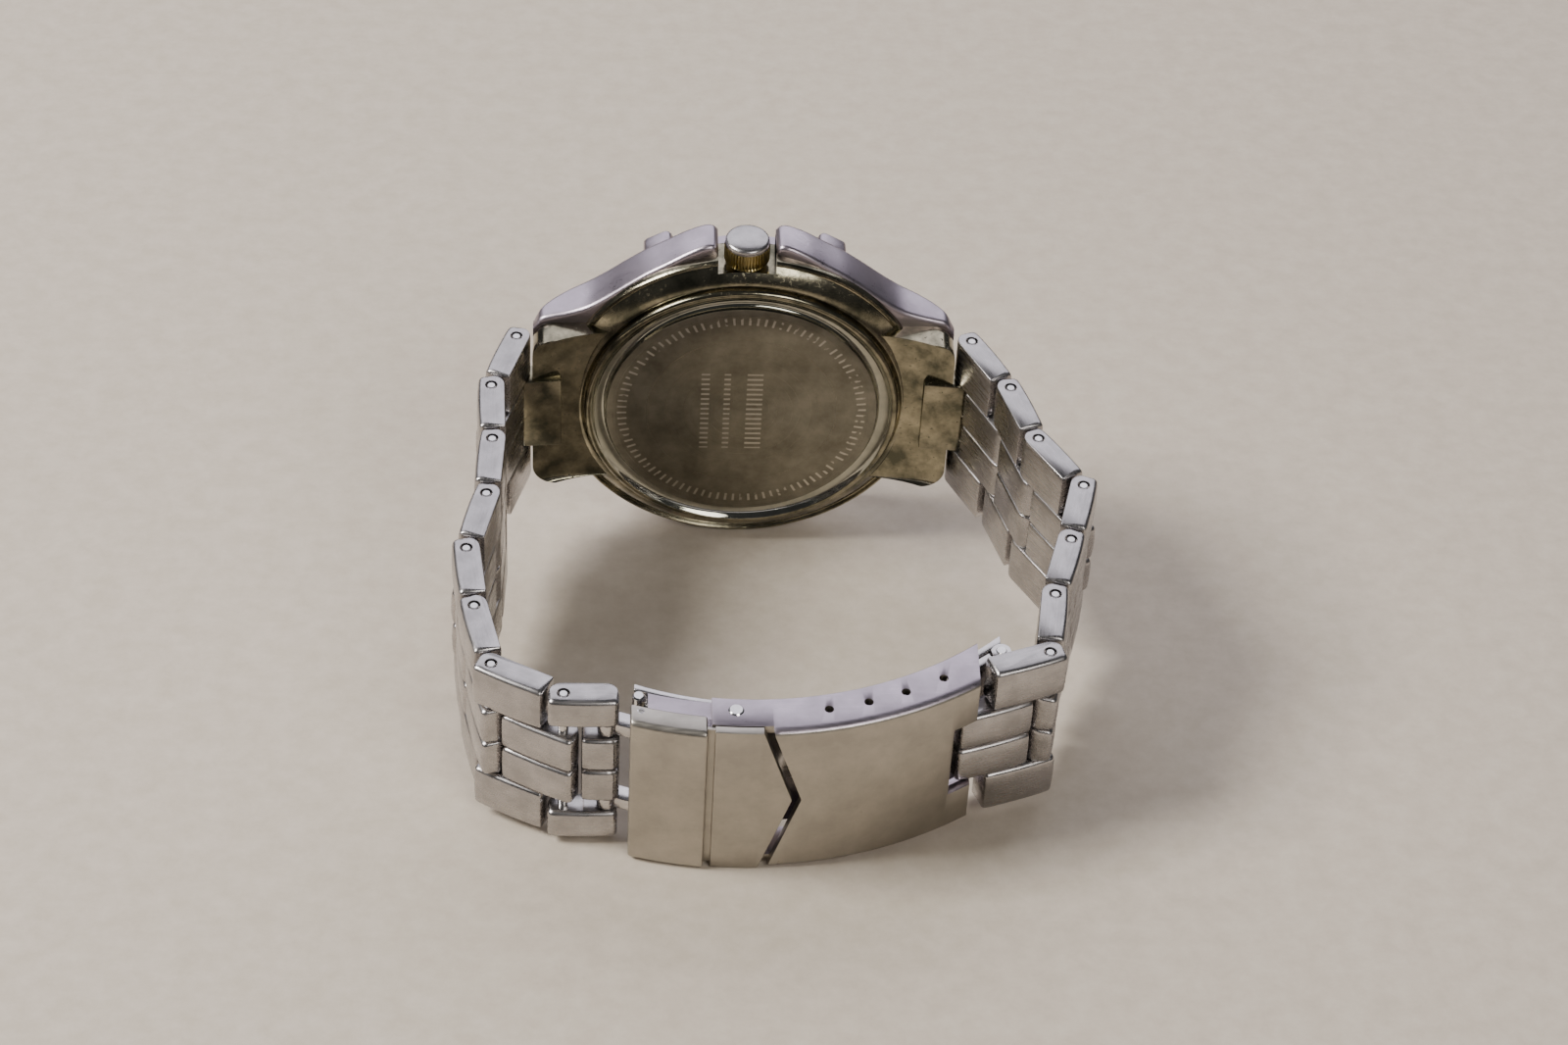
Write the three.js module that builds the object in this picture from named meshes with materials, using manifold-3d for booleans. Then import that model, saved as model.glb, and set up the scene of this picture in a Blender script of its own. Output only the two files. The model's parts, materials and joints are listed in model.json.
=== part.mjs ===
// A quartz wristwatch standing on its nine o'clock edge, its bracelet closed.
//
// Everything is modelled in the watch's own frame and leaned over at the end:
// +X runs from six to twelve o'clock, +Y from the case back out through the
// dial, +Z from nine to three o'clock, where the crown is. The bracelet hangs
// to -Y and every hinge of it turns about an axis along Z.
import * as THREE from 'three';
import { mergeVertices, toCreasedNormals } from 'three/addons/utils/BufferGeometryUtils.js';
import loadManifold from 'manifold-3d';

const wasm = await loadManifold();
wasm.setup();

const DEGREE = Math.PI / 180;

// Driving dimensions, in millimetres and degrees.
const LUG_SPAN = 44; // lug end to lug end
const LUG_WIDTH = 20.4; // the bar that each lug end is cut from
const CASE_RADIUS = 19.4;
const CASE_BACK_LEVEL = 0; // the flat disc of the case back
const CASE_LOW = 1; // the back face of the middle case
const GUARD_LOW = 3; // where the flank and the crown guards begin
const CASE_TOP = 7; // the face under the bezel
const GUARD_TIP = 20.2; // how far the guards reach beside the crown
const CROWN_GAP = 6; // between the two guards
const BACK_RIM_RADIUS = 16.6;
const BACK_DISC_RADIUS = 14.5;
const BEZEL_RADIUS = 17.2;
const CRYSTAL_RADIUS = 14.2;
const DIAL_RADIUS = 14;
const CHAMBER_RADIUS = 15; // the bore that the movement lies in
const LUG_TIP = -0.6; // the lowest point of the lug ends
const BEZEL_LOW = CASE_TOP + 0.15;
const BEZEL_HIGH = BEZEL_LOW + 2;
const BEZEL_TABS = 6;
const DIAL_LEVEL = 5.6;
const DIAL_THICK = 0.5;

// The crown, its stem and its tube lie along Z at one level.
const CROWN_LEVEL = 4;
const CROWN_RADIUS = 2.35;
const CROWN_INNER = 17.8; // its face toward the case
const CROWN_OUTER = 20.7;
const CROWN_TEETH = 18;
const STEM_RADIUS = 0.45;
const TUBE_RADIUS = 1.3;

const LINK_PITCH = 7.85;
const LINK_THICK = 2.8;
const FIRST_LINK_WIDTH = 20;
const LINK_TAPER = 0.08; // each link is this much narrower than the last
const TONGUE_SHARE = 0.46; // of a link's width
const LINK_END = 1.5; // from a pin's axis to the end of its link
const PIN_RADIUS = 0.5;
const CLEARANCE = 0.15; // between parts that turn on one another
const HOLE_RADIUS = PIN_RADIUS + 0.1;
const LUG_PIN = { x: LUG_SPAN / 2 + LINK_END + CLEARANCE, y: 0.4 };

const CLASP_RADIUS = 40; // of its outer face
const CLASP_CENTRE = { x: -0.5, y: -14.6 };
const CLASP_WIDTH = 19.4;
const CLASP_LEFT = -12; // the end of the flip lock
const COVER_RIGHT = 21.4;

// How far each link is turned outward from hanging straight down.
// The last two links of each side take whatever bend closes the loop.
const LEFT_HEADINGS = [18, -2, 3, 13, -7];
const RIGHT_HEADINGS = [27, 17, 31, -14, -16];

const CURVE_STEPS = 3; // facets in the corner of a link
const ROUND_STEPS = 36; // facets round the large rings
const SMALL_STEPS = 8; // facets round a pin

// Materials.

const steel = (colour, roughness) =>
  new THREE.MeshStandardMaterial({ color: colour, roughness, metalness: 1 });
const satinSteel = steel(0x9c948a, 0.42);
const sideSteel = steel(0xb0a7b6, 0.3);
const brushedBack = steel(0x6a6152, 0.36);
const wornPlating = steel(0x979068, 0.45);
const polishedSteel = steel(0xc8c6c4, 0.12);
const brass = steel(0xa58c46, 0.35);
const copper = steel(0xb06a3c, 0.4);
const plastic = (colour, roughness) =>
  new THREE.MeshStandardMaterial({ color: colour, roughness, metalness: 0 });
const rubber = plastic(0x151515, 0.8);
const holderPlastic = plastic(0xd8d4c8, 0.6);
const dialPaint = plastic(0x1b2a44, 0.4);
const ringPaint = plastic(0x20242c, 0.5);
const glass = new THREE.MeshStandardMaterial({
  color: 0xf4f8fa,
  roughness: 0.05,
  metalness: 0,
  transparent: true,
  opacity: 0.25,
});

// Solids and meshes.

function toSolid(geometry) {
  const bare = geometry.index ? geometry.toNonIndexed() : geometry.clone();
  bare.deleteAttribute('normal');
  bare.deleteAttribute('uv');
  const merged = mergeVertices(bare, 1e-4);
  return new wasm.Manifold(
    new wasm.Mesh({
      numProp: 3,
      vertProperties: merged.attributes.position.array,
      triVerts: new Uint32Array(merged.index.array),
    }),
  );
}

function toGeometry(solid) {
  const { vertProperties, numProp, triVerts } = solid.getMesh();
  const position = new Float32Array((vertProperties.length / numProp) * 3);
  for (let vertex = 0; vertex < position.length / 3; vertex += 1) {
    for (let axis = 0; axis < 3; axis += 1) {
      position[vertex * 3 + axis] = vertProperties[vertex * numProp + axis];
    }
  }
  const geometry = new THREE.BufferGeometry();
  geometry.setAttribute('position', new THREE.BufferAttribute(position, 3));
  geometry.setIndex([...triVerts]);
  return toCreasedNormals(geometry, 30 * DEGREE);
}

const join = (...geometries) => wasm.Manifold.union(geometries.map(toSolid));

// The joined first list with every piece of the second cut out of it.
function carve(keep, cuts) {
  const body = join(...keep);
  return toGeometry(cuts.length ? wasm.Manifold.difference(body, join(...cuts)) : body);
}

function named(name, geometry, material) {
  const mesh = new THREE.Mesh(geometry, material);
  mesh.name = name;
  return mesh;
}

// An outline in X and Y, drawn out along Z between two heights.
function alongWidth(outline, low, high) {
  const shape = outline instanceof THREE.Shape ? outline : new THREE.Shape(outline);
  const options = { depth: high - low, bevelEnabled: false, curveSegments: CURVE_STEPS };
  return new THREE.ExtrudeGeometry(shape, options).translate(0, 0, low);
}

// An outline in X and Z, drawn out along Y between two levels.
function alongDepth(outline, low, high, steps = CURVE_STEPS) {
  const shape = outline instanceof THREE.Shape ? outline : new THREE.Shape(outline);
  const options = { depth: high - low, bevelEnabled: false, curveSegments: steps };
  const geometry = new THREE.ExtrudeGeometry(shape, options);
  return geometry.rotateX(Math.PI / 2).translate(0, high, 0);
}

// A solid of revolution about Y from [radius, level] pairs, closed on itself.
function turned(pairs, steps = ROUND_STEPS) {
  const points = pairs.map(([radius, level]) => new THREE.Vector2(radius, level));
  points.push(points[0].clone());
  const area = THREE.ShapeUtils.area(points.slice(0, -1));
  if (area < 0) points.reverse();
  return new THREE.LatheGeometry(points, steps);
}

const ring = (inner, outer, low, high, steps) =>
  turned([[inner, low], [outer, low], [outer, high], [inner, high]], steps);

// A disc between two levels; its profile starts and ends on the axis.
function disc(radius, low, high, steps = ROUND_STEPS) {
  const profile = [[0, low], [radius, low], [radius, high], [0, high]];
  return new THREE.LatheGeometry(profile.map(([r, y]) => new THREE.Vector2(r, y)), steps);
}

// A rod along Z through a point of the X-Y plane.
function rod(at, radius, low, high, steps = SMALL_STEPS) {
  const geometry = new THREE.CylinderGeometry(radius, radius, high - low, steps);
  return geometry.rotateX(Math.PI / 2).translate(at.x, at.y, (low + high) / 2);
}

function block(x0, x1, y0, y1, z0, z1) {
  const geometry = new THREE.BoxGeometry(x1 - x0, y1 - y0, z1 - z0);
  return geometry.translate((x0 + x1) / 2, (y0 + y1) / 2, (z0 + z1) / 2);
}

function roundedRectangle(halfX, halfY, radius) {
  const shape = new THREE.Shape();
  shape.moveTo(-halfX + radius, -halfY);
  shape.lineTo(halfX - radius, -halfY);
  shape.absarc(halfX - radius, -halfY + radius, radius, -Math.PI / 2, 0);
  shape.absarc(halfX - radius, halfY - radius, radius, 0, Math.PI / 2);
  shape.absarc(-halfX + radius, halfY - radius, radius, Math.PI / 2, Math.PI);
  shape.absarc(-halfX + radius, -halfY + radius, radius, Math.PI, 1.5 * Math.PI);
  return shape;
}

// The case.

// The flank between a lug corner and the crown, seen from the dial.
function guardOutline(side) {
  const lugCorner = LUG_WIDTH / 2;
  const flank = [
    [LUG_SPAN / 2 - 1.5, lugCorner],
    [17, 11.2],
    [14.4, 12.2],
    [10.4, 15.2],
    [6.2, 18.6],
    [CROWN_GAP / 2 + 0.9, GUARD_TIP - 0.1],
  ].map(([x, z]) => new THREE.Vector2(side * x, z));
  const shape = new THREE.Shape();
  shape.moveTo(side * (CROWN_GAP / 2), 0);
  shape.lineTo(side * (LUG_SPAN / 2 - 3), 0);
  shape.lineTo(flank[0].x, flank[0].y);
  shape.splineThru(flank.slice(1));
  shape.lineTo(side * (CROWN_GAP / 2), GUARD_TIP - 0.6);
  return shape;
}

// The side view of the lug ends: they curve down toward the wrist.
function lugOutline() {
  const end = LUG_SPAN / 2;
  const shape = new THREE.Shape();
  shape.moveTo(-13, CASE_LOW);
  shape.lineTo(13, CASE_LOW);
  shape.quadraticCurveTo(18, CASE_LOW, end, LUG_TIP);
  shape.lineTo(end, 3.4);
  shape.quadraticCurveTo(end - 1.5, 5.6, 15.5, CASE_TOP);
  shape.lineTo(-15.5, CASE_TOP);
  shape.quadraticCurveTo(-end + 1.5, 5.6, -end, 3.4);
  shape.lineTo(-end, LUG_TIP);
  shape.quadraticCurveTo(-18, CASE_LOW, -13, CASE_LOW);
  return shape;
}

function tongueOutline(side) {
  const root = side * (LUG_SPAN / 2 - 1);
  const pin = side * LUG_PIN.x;
  const half = LINK_THICK / 2;
  const shape = new THREE.Shape();
  shape.moveTo(root, LUG_PIN.y - half);
  shape.lineTo(pin, LUG_PIN.y - half);
  shape.absarc(pin, LUG_PIN.y, half, -Math.PI / 2, Math.PI / 2, side < 0);
  shape.lineTo(root, LUG_PIN.y + half);
  return shape;
}

const firstTongue = FIRST_LINK_WIDTH * TONGUE_SHARE;

function midCase() {
  const outer = turned([
    [13, CASE_LOW],
    [CASE_RADIUS - 0.5, CASE_LOW],
    [CASE_RADIUS, CASE_LOW + 0.9],
    [CASE_RADIUS, CASE_TOP - 0.8],
    [CASE_RADIUS - 0.9, CASE_TOP],
    [13, CASE_TOP],
  ]);
  const plan = alongDepth(roundedRectangle(LUG_SPAN / 2, LUG_WIDTH / 2, 2.4), -2, CASE_TOP);
  const side = alongWidth(lugOutline(), -LUG_WIDTH, LUG_WIDTH);
  const lugs = toGeometry(wasm.Manifold.intersection(toSolid(plan), toSolid(side)));
  const guards = [-1, 1].map((way) => alongDepth(guardOutline(way), GUARD_LOW, CASE_TOP));
  const fallen = alongWidth(lugOutline(), 0, GUARD_TIP + 1);
  const shapedGuards = toGeometry(
    wasm.Manifold.intersection(join(...guards), toSolid(fallen)),
  );
  const tongues = [-1, 1].map((way) =>
    alongWidth(tongueOutline(way), -firstTongue / 2, firstTongue / 2),
  );
  const pinHoles = [-1, 1].map((way) =>
    rod({ x: way * LUG_PIN.x, y: LUG_PIN.y }, HOLE_RADIUS, -firstTongue, firstTongue),
  );
  const chamber = disc(CHAMBER_RADIUS, CASE_LOW - 3, CASE_TOP + 3);
  const backSeat = disc(BACK_RIM_RADIUS + 0.15, CASE_LOW - 3, CASE_LOW);
  const crownHole = rodAcross(CROWN_LEVEL, TUBE_RADIUS + 0.05, 10, CROWN_OUTER + 4);
  const gap = CROWN_GAP / 2;
  const seatLow = CROWN_INNER - 0.8;
  const crownSeat = block(-gap, gap, CASE_LOW - 1, CASE_TOP + 1, seatLow, CROWN_OUTER + 4);
  return carve(
    [outer, lugs, shapedGuards, ...tongues],
    [chamber, backSeat, crownHole, crownSeat, ...pinHoles],
  );
}

function rodAcross(level, radius, low, high, steps = 16) {
  return rod({ x: 0, y: level }, radius, low, high, steps);
}

function crownTube() {
  return carve(
    [rodAcross(CROWN_LEVEL, TUBE_RADIUS, CHAMBER_RADIUS + 0.2, CROWN_INNER - 0.2)],
    [rodAcross(CROWN_LEVEL, TUBE_RADIUS - 0.45, CHAMBER_RADIUS, CROWN_INNER + 0.2)],
  );
}

function windingStem() {
  return carve([rodAcross(CROWN_LEVEL, STEM_RADIUS, 8.2, CROWN_INNER + 0.7)], []);
}

// The knurled edge as an outline: each tooth is one high and one low point.
function knurlOutline() {
  const outline = [];
  for (let step = 0; step < 2 * CROWN_TEETH; step += 1) {
    const angle = (step * Math.PI) / CROWN_TEETH;
    const reach = CROWN_RADIUS - (step % 2) * 0.18;
    outline.push(new THREE.Vector2(reach * Math.cos(angle), reach * Math.sin(angle)));
  }
  return outline;
}

function crown() {
  const gripEnd = CROWN_OUTER - 0.4;
  const grip = alongWidth(knurlOutline(), CROWN_INNER, gripEnd).translate(0, CROWN_LEVEL, 0);
  const cap = new THREE.CylinderGeometry(CROWN_RADIUS - 0.35, CROWN_RADIUS - 0.05, 0.5, 24);
  cap.rotateX(Math.PI / 2).translate(0, CROWN_LEVEL, CROWN_OUTER - 0.25);
  const well = CROWN_INNER - 0.8;
  const stemHole = rodAcross(CROWN_LEVEL, STEM_RADIUS + 0.05, well, CROWN_INNER + 0.9);
  const tubeWell = rodAcross(CROWN_LEVEL, TUBE_RADIUS + 0.15, well, CROWN_INNER + 0.3);
  return carve([grip, cap], [stemHole, tubeWell]);
}

function crownGasket() {
  const outer = TUBE_RADIUS - 0.52;
  return carve(
    [rodAcross(CROWN_LEVEL, outer, 16.2, 16.8, SMALL_STEPS)],
    [rodAcross(CROWN_LEVEL, STEM_RADIUS + 0.08, 16, 17, SMALL_STEPS)],
  );
}

// A flat disc, a dished ring and a raised rim, with a skirt inside the case.
function caseBack() {
  const rim = BACK_RIM_RADIUS;
  const flat = BACK_DISC_RADIUS;
  const points = [
    [0, CASE_BACK_LEVEL],
    [flat, CASE_BACK_LEVEL],
    [flat + 0.25, CASE_BACK_LEVEL + 0.35],
    [rim - 1.1, CASE_BACK_LEVEL + 0.3],
    [rim - 0.5, CASE_BACK_LEVEL + 0.1],
    [rim, CASE_BACK_LEVEL + 0.35],
    [rim, CASE_LOW - 0.1],
    [14.8, CASE_LOW - 0.1],
    [14.8, CASE_LOW + 1],
    [13.8, CASE_LOW + 1],
    [13.8, CASE_LOW],
    [0, CASE_LOW],
  ].map(([radius, level]) => new THREE.Vector2(radius, level));
  return new THREE.LatheGeometry(points, ROUND_STEPS);
}

// The bezel carries six rider tabs, one at every second hour.
function bezel() {
  const low = BEZEL_LOW;
  const high = BEZEL_HIGH;
  const body = turned([
    [CRYSTAL_RADIUS + 0.35, low],
    [BEZEL_RADIUS, low],
    [BEZEL_RADIUS, high - 0.5],
    [BEZEL_RADIUS - 0.8, high],
    [CRYSTAL_RADIUS + 0.35, high],
  ]);
  const tabs = Array.from({ length: BEZEL_TABS }, (_, index) => {
    const tab = alongDepth(roundedRectangle(1.6, 1.9, 0.7), low + 0.1, high + 0.3, 3);
    const angle = (30 + (index * 360) / BEZEL_TABS) * DEGREE;
    return tab.translate(0, 0, BEZEL_RADIUS - 0.3).rotateY(angle);
  });
  const well = disc(CRYSTAL_RADIUS + 0.35, low - 1, high + 1);
  const groove = ring(16, 16.7, low - 1, low + 0.45);
  return carve([body, ...tabs], [well, groove]);
}

// A flat click spring that lies in the bezel's groove.
function clickSpring() {
  return ring(16.2, 16.55, CASE_TOP + 0.05, CASE_TOP + 0.4, 24);
}

function crystal() {
  const low = CASE_TOP + 0.5;
  const radius = CRYSTAL_RADIUS;
  const points = [
    [0, low],
    [radius, low],
    [radius, low + 1.7],
    [radius - 0.4, low + 2.1],
    [0, low + 2.1],
  ].map(([r, y]) => new THREE.Vector2(r, y));
  return new THREE.LatheGeometry(points, ROUND_STEPS);
}

// The dial side, from the crystal's seat down to the battery.

function chapterRing() {
  return turned([
    [13.2, 6.2],
    [14.8, 6.2],
    [14.8, CASE_TOP + 0.08],
    [14, CASE_TOP + 0.08],
    [13.2, 6.6],
  ]);
}

const dialPlate = () => {
  const plate = disc(DIAL_RADIUS + 0.7, DIAL_LEVEL, DIAL_LEVEL + DIAL_THICK);
  return carve([plate], [disc(0.75, DIAL_LEVEL - 1, DIAL_LEVEL + 1, 16)]);
};

// A tapered hand lying along +X from the centre, with a boss round its post.
function hand(length, width, boss, level, thick) {
  const blade = new THREE.Shape([
    new THREE.Vector2(-length * 0.2, -width * 0.3),
    new THREE.Vector2(length * 0.7, -width / 2),
    new THREE.Vector2(length, 0),
    new THREE.Vector2(length * 0.7, width / 2),
    new THREE.Vector2(-length * 0.2, width * 0.3),
  ]);
  const flat = alongDepth(blade, level, level + thick);
  return carve([flat, disc(boss, level, level + thick, 20)], []);
}

// Each hand's post is as narrow as the one that turns inside it allows.
function postedHand(length, width, boss, level, thick, post, bore) {
  const flat = hand(length, width, boss, level, thick);
  const stem = disc(post, DIAL_LEVEL - 0.4, level + thick / 2, 20);
  const holes = bore ? [disc(bore, 4, level + 2, 16)] : [];
  return carve([flat, stem], holes);
}

// Turns a hand clockwise from twelve o'clock, as it is read from the dial side.
function pointing(mesh, degrees) {
  mesh.rotation.y = -degrees * DEGREE;
  return mesh;
}

const movementPlate = () =>
  carve(
    [disc(11.4, 3.4, 5)],
    [rodAcross(CROWN_LEVEL, 0.7, 7.6, 13), block(3.6, 9.4, 3, 4.1, -8.4, 8.4)],
  );

const movementHolder = () =>
  carve([ring(11.6, 14.6, 2.4, 5.4)], [rodAcross(CROWN_LEVEL, 1.4, 10, 16)]);

const battery = () => disc(4.75, 1.4, 3.3, 32).translate(-5.4, 0, -1.5);

const circuitBoard = () =>
  alongDepth(roundedRectangle(2.6, 8, 1), 2.2, 2.7).translate(3.2, 0, 0);

const coil = () => rod({ x: 6.5, y: 3.2 }, 0.75, -6, 6, 16);

// The bracelet.

// A link's side view along +X from its own pin: the wrist side (-Y) has full
// round corners, the outer side (+Y) has small ones.
function linkOutline(pitch, reach = LINK_END) {
  const half = LINK_THICK / 2;
  const small = 0.5;
  const back = -LINK_END;
  const front = pitch + reach;
  const shape = new THREE.Shape();
  shape.moveTo(back + half, -half);
  shape.lineTo(front - half, -half);
  shape.absarc(front - half, 0, half, -Math.PI / 2, 0);
  shape.lineTo(front, half - small);
  shape.absarc(front - small, half - small, small, 0, Math.PI / 2);
  shape.lineTo(back + small, half);
  shape.absarc(back + small, half - small, small, Math.PI / 2, Math.PI);
  shape.lineTo(back, 0);
  shape.absarc(back + half, 0, half, Math.PI, 1.5 * Math.PI);
  return shape;
}

const seat = LINK_END + 2 * CLEARANCE - 0.05; // the reach of a notch from its pin

// Two prongs hold the pin at the origin; the tongue at the other end goes
// between the prongs of the next link.
function linkGeometry(width, tongueIn, tongueOut, pitch = LINK_PITCH) {
  const half = width / 2;
  const deep = LINK_THICK;
  const body = alongWidth(linkOutline(pitch), -half, half);
  const notchHalf = tongueIn / 2 + CLEARANCE;
  const notch = block(-deep, seat, -deep, deep, -notchHalf, notchHalf);
  const shoulders = [-1, 1].map((way) => {
    const inner = (way * tongueOut) / 2;
    const [low, high] = [inner, way * (half + 1)].sort((a, b) => a - b);
    return block(pitch - seat, pitch + deep, -deep, deep, low, high);
  });
  const holes = [0, pitch].map((x) => rod({ x, y: 0 }, HOLE_RADIUS, -half - 1, half + 1));
  return carve([body], [notch, ...shoulders, ...holes]);
}

// The last left link: its outer rows run on beside the ears of the blade.
const END_LINK_PITCH = 4.2;
const EAR_INNER = 4.55;
const EAR_OUTER = 5.95;
const EAR_REACH = 1;
const END_REACH = 1.1; // from the end pin to the end of this link

function endLinkGeometry(width, tongueIn) {
  const half = width / 2;
  const deep = LINK_THICK;
  const pin = END_LINK_PITCH;
  const body = alongWidth(linkOutline(pin, END_REACH), -half, half);
  const notchHalf = tongueIn / 2 + CLEARANCE;
  const notch = block(-deep, seat, -deep, deep, -notchHalf, notchHalf);
  const slots = [-1, 1].map((way) => {
    const edges = [EAR_INNER - CLEARANCE, EAR_OUTER + CLEARANCE].map((edge) => way * edge);
    const [low, high] = edges.sort((a, b) => a - b);
    return block(pin - EAR_REACH - 1.15, pin + deep, -deep, deep, low, high);
  });
  const ends = [-1, 1].map((way) => {
    const edges = [EAR_OUTER, half + 1].map((edge) => way * edge);
    const [low, high] = edges.sort((a, b) => a - b);
    return block(pin + END_REACH - 0.2, pin + deep, -deep, deep, low, high);
  });
  const holes = [0, pin].map((x) => rod({ x, y: 0 }, HOLE_RADIUS, -half - 1, half + 1));
  return carve([body], [notch, ...slots, ...ends, ...holes]);
}

const polar = (radius, x) => {
  const across = x - CLASP_CENTRE.x;
  return { x, y: CLASP_CENTRE.y - Math.sqrt(radius * radius - across * across) };
};

// A point under the clasp's outer face at a given depth.
const under = (x, depth) => polar(CLASP_RADIUS - depth, x);

const CLASP_BAR = under(COVER_RIGHT - 0.4, 1.6); // the spring bar of the last right link
const END_PIN = under(CLASP_LEFT - 2.1, 2.5); // where the last left link meets the blade
const LOCK_PIN = under(CLASP_LEFT + 1, 1.4);
const CATCH_PIN = under(CLASP_LEFT + 0.8, 3.3);
const FOLD_ONE = under(-2, 3);
const FOLD_TWO = under(24, 3.6);

// The pins of one side: each link goes one pitch along its heading, and the
// last two meet the given end with their knee turned outward.
function chain(side, start, headings, end) {
  const pins = [start];
  for (const heading of headings) {
    const last = pins.at(-1);
    pins.push({
      x: last.x + side * LINK_PITCH * Math.sin(heading * DEGREE),
      y: last.y - LINK_PITCH * Math.cos(heading * DEGREE),
    });
  }
  const from = pins.at(-1);
  const span = Math.hypot(end.x - from.x, end.y - from.y);
  const rise = Math.sqrt(LINK_PITCH ** 2 - (span / 2) ** 2);
  const along = { x: (end.x - from.x) / span, y: (end.y - from.y) / span };
  pins.push({
    x: (from.x + end.x) / 2 + side * -along.y * rise,
    y: (from.y + end.y) / 2 + side * along.x * rise,
  });
  pins.push(end);
  return pins;
}

// A link that runs from one pin to the next. On the right its outline is
// mirrored, so that the round corners stay on the wrist side.
function placeLink(mesh, side, from, to) {
  const frame = new THREE.Group();
  frame.add(mesh);
  frame.position.set(from.x, from.y, 0);
  frame.rotation.z = Math.atan2(to.y - from.y, to.x - from.x);
  if (side < 0) mesh.geometry.rotateX(Math.PI);
  return frame;
}

function strand(word, side, pins, endLink) {
  const placed = [];
  let width = FIRST_LINK_WIDTH;
  let tongue = firstTongue;
  for (let index = 0; index + 1 < pins.length; index += 1) {
    const isEnd = endLink && index + 2 === pins.length;
    const name = `${word}_link_${index + 1}`;
    const nextTongue = (width - LINK_TAPER) * TONGUE_SHARE;
    const geometry = isEnd
      ? endLinkGeometry(width, tongue)
      : linkGeometry(width, tongue, nextTongue);
    placed.push(placeLink(named(name, geometry, satinSteel), side, pins[index], pins[index + 1]));
    placed.push(pinAt(`${word}_pin_${index}`, pins[index], width / 2 - 0.1));
    tongue = nextTongue;
    width -= LINK_TAPER;
  }
  return placed;
}

function pinAt(name, at, half, radius = PIN_RADIUS) {
  return named(name, rod(at, radius, -half, half), polishedSteel);
}

// The clasp.

// A strip that follows the clasp's curve between two depths under its face.
// Its right end may lie nearer the face than its left one, by the given rise.
function curved(left, right, top, bottom, steps = 14, rise = 0) {
  const point = (step, depth) => {
    const share = step / steps;
    return under(left + (right - left) * share, depth - rise * share);
  };
  const points = [];
  for (let step = 0; step <= steps; step += 1) points.push(point(step, top));
  for (let step = steps; step >= 0; step -= 1) points.push(point(step, bottom));
  return points.map(({ x, y }) => new THREE.Vector2(x, y));
}

const claspHalf = CLASP_WIDTH / 2;
const WALL = 0.9;
const WALL_LEFT = CLASP_LEFT + 7.4; // the cover's walls step in here, inside the lock
const ADJUSTER_XS = [6.8, 10.6, 14.2, 17.9]; // the spring bar's other places
const ARROW_TIP = 3.6;
const ARROW_ROOT = 0.3;

// The V that the lock's arrow lies in, as an outline in X and Z.
function arrowOutline(back, grow) {
  const half = claspHalf + 1;
  return [
    new THREE.Vector2(back, -half),
    new THREE.Vector2(ARROW_ROOT + grow, -half),
    new THREE.Vector2(ARROW_TIP + grow, 0),
    new THREE.Vector2(ARROW_ROOT + grow, half),
    new THREE.Vector2(back, half),
  ];
}

function claspCover() {
  const plate = alongWidth(curved(WALL_LEFT + 0.4, COVER_RIGHT, 0, 1), -claspHalf, claspHalf);
  const walls = [-1, 1].flatMap((way) => {
    const main = curved(WALL_LEFT + 0.2, COVER_RIGHT, 0.9, 4.4);
    const ear = curved(LOCK_PIN.x, WALL_LEFT + 2, 0.95, 2.3, 6);
    const [low, high] = [way * (claspHalf - 1.6), way * (claspHalf - 0.75)].sort((a, b) => a - b);
    const [wallLow, wallHigh] = [way * (claspHalf - WALL), way * claspHalf].sort((a, b) => a - b);
    return [
      alongWidth(main, wallLow, wallHigh),
      alongWidth(ear, low, high),
      rod(LOCK_PIN, 1, low, high, 16),
    ];
  });
  const prism = alongDepth(arrowOutline(-14, 0.45), -60, -40);
  const skin = alongWidth(curved(-14, ARROW_TIP + 3, -1, 0.96, 8), -CLASP_WIDTH, CLASP_WIDTH);
  const arrow = toGeometry(wasm.Manifold.intersection(toSolid(prism), toSolid(skin)));
  const tongue = (FIRST_LINK_WIDTH - 7 * LINK_TAPER) * TONGUE_SHARE;
  const seatHalf = tongue / 2 + CLEARANCE;
  const linkSeat = block(CLASP_BAR.x - LINK_END - 0.3, 30, -60, -40, -seatHalf, seatHalf);
  const acrossHole = (at, radius) => rod(at, radius, -claspHalf - 1, claspHalf + 1);
  const adjusters = ADJUSTER_XS.map((x) => acrossHole(under(x, 2.5), 0.45));
  const holes = [acrossHole(LOCK_PIN, HOLE_RADIUS), acrossHole(FOLD_ONE, HOLE_RADIUS)];
  return carve([plate, ...walls], [arrow, linkSeat, ...adjusters, ...holes]);
}

function flipLock() {
  const half = claspHalf;
  const right = WALL_LEFT - 0.2;
  const band = alongWidth(curved(CLASP_LEFT, right, -0.35, 0.25, 6), -half, half);
  const bridge = alongWidth(curved(right - 1, right + 1, 0.1, 0.8, 2), -half + 0.1, half - 0.1);
  const tongue = alongWidth(curved(right + 0.6, ARROW_TIP + 1, 0, 0.85, 6), -half, half);
  const arrow = alongDepth(arrowOutline(-14, 0), -60, -40);
  const shapedTongue = toGeometry(
    wasm.Manifold.intersection(toSolid(tongue), toSolid(arrow)),
  );
  const flanges = [-1, 1].map((way) => {
    const [low, high] = [way * (half - 0.65), way * half].sort((a, b) => a - b);
    return alongWidth(curved(CLASP_LEFT, right, 0, 2.1, 6), low, high);
  });
  const pinHole = rod(LOCK_PIN, HOLE_RADIUS, -half - 1, half + 1);
  return carve([band, bridge, shapedTongue, ...flanges], [pinHole]);
}

const BLADE_HALF = 7.5;
const KNUCKLE = 1; // radius of the rolled eyes at both folds
const EYE_HALF = 4; // half width of the middle blade's eye at the second fold
const MIDDLE_RISE = 1.1;
const INNER_RISE = 1.4;

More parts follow.
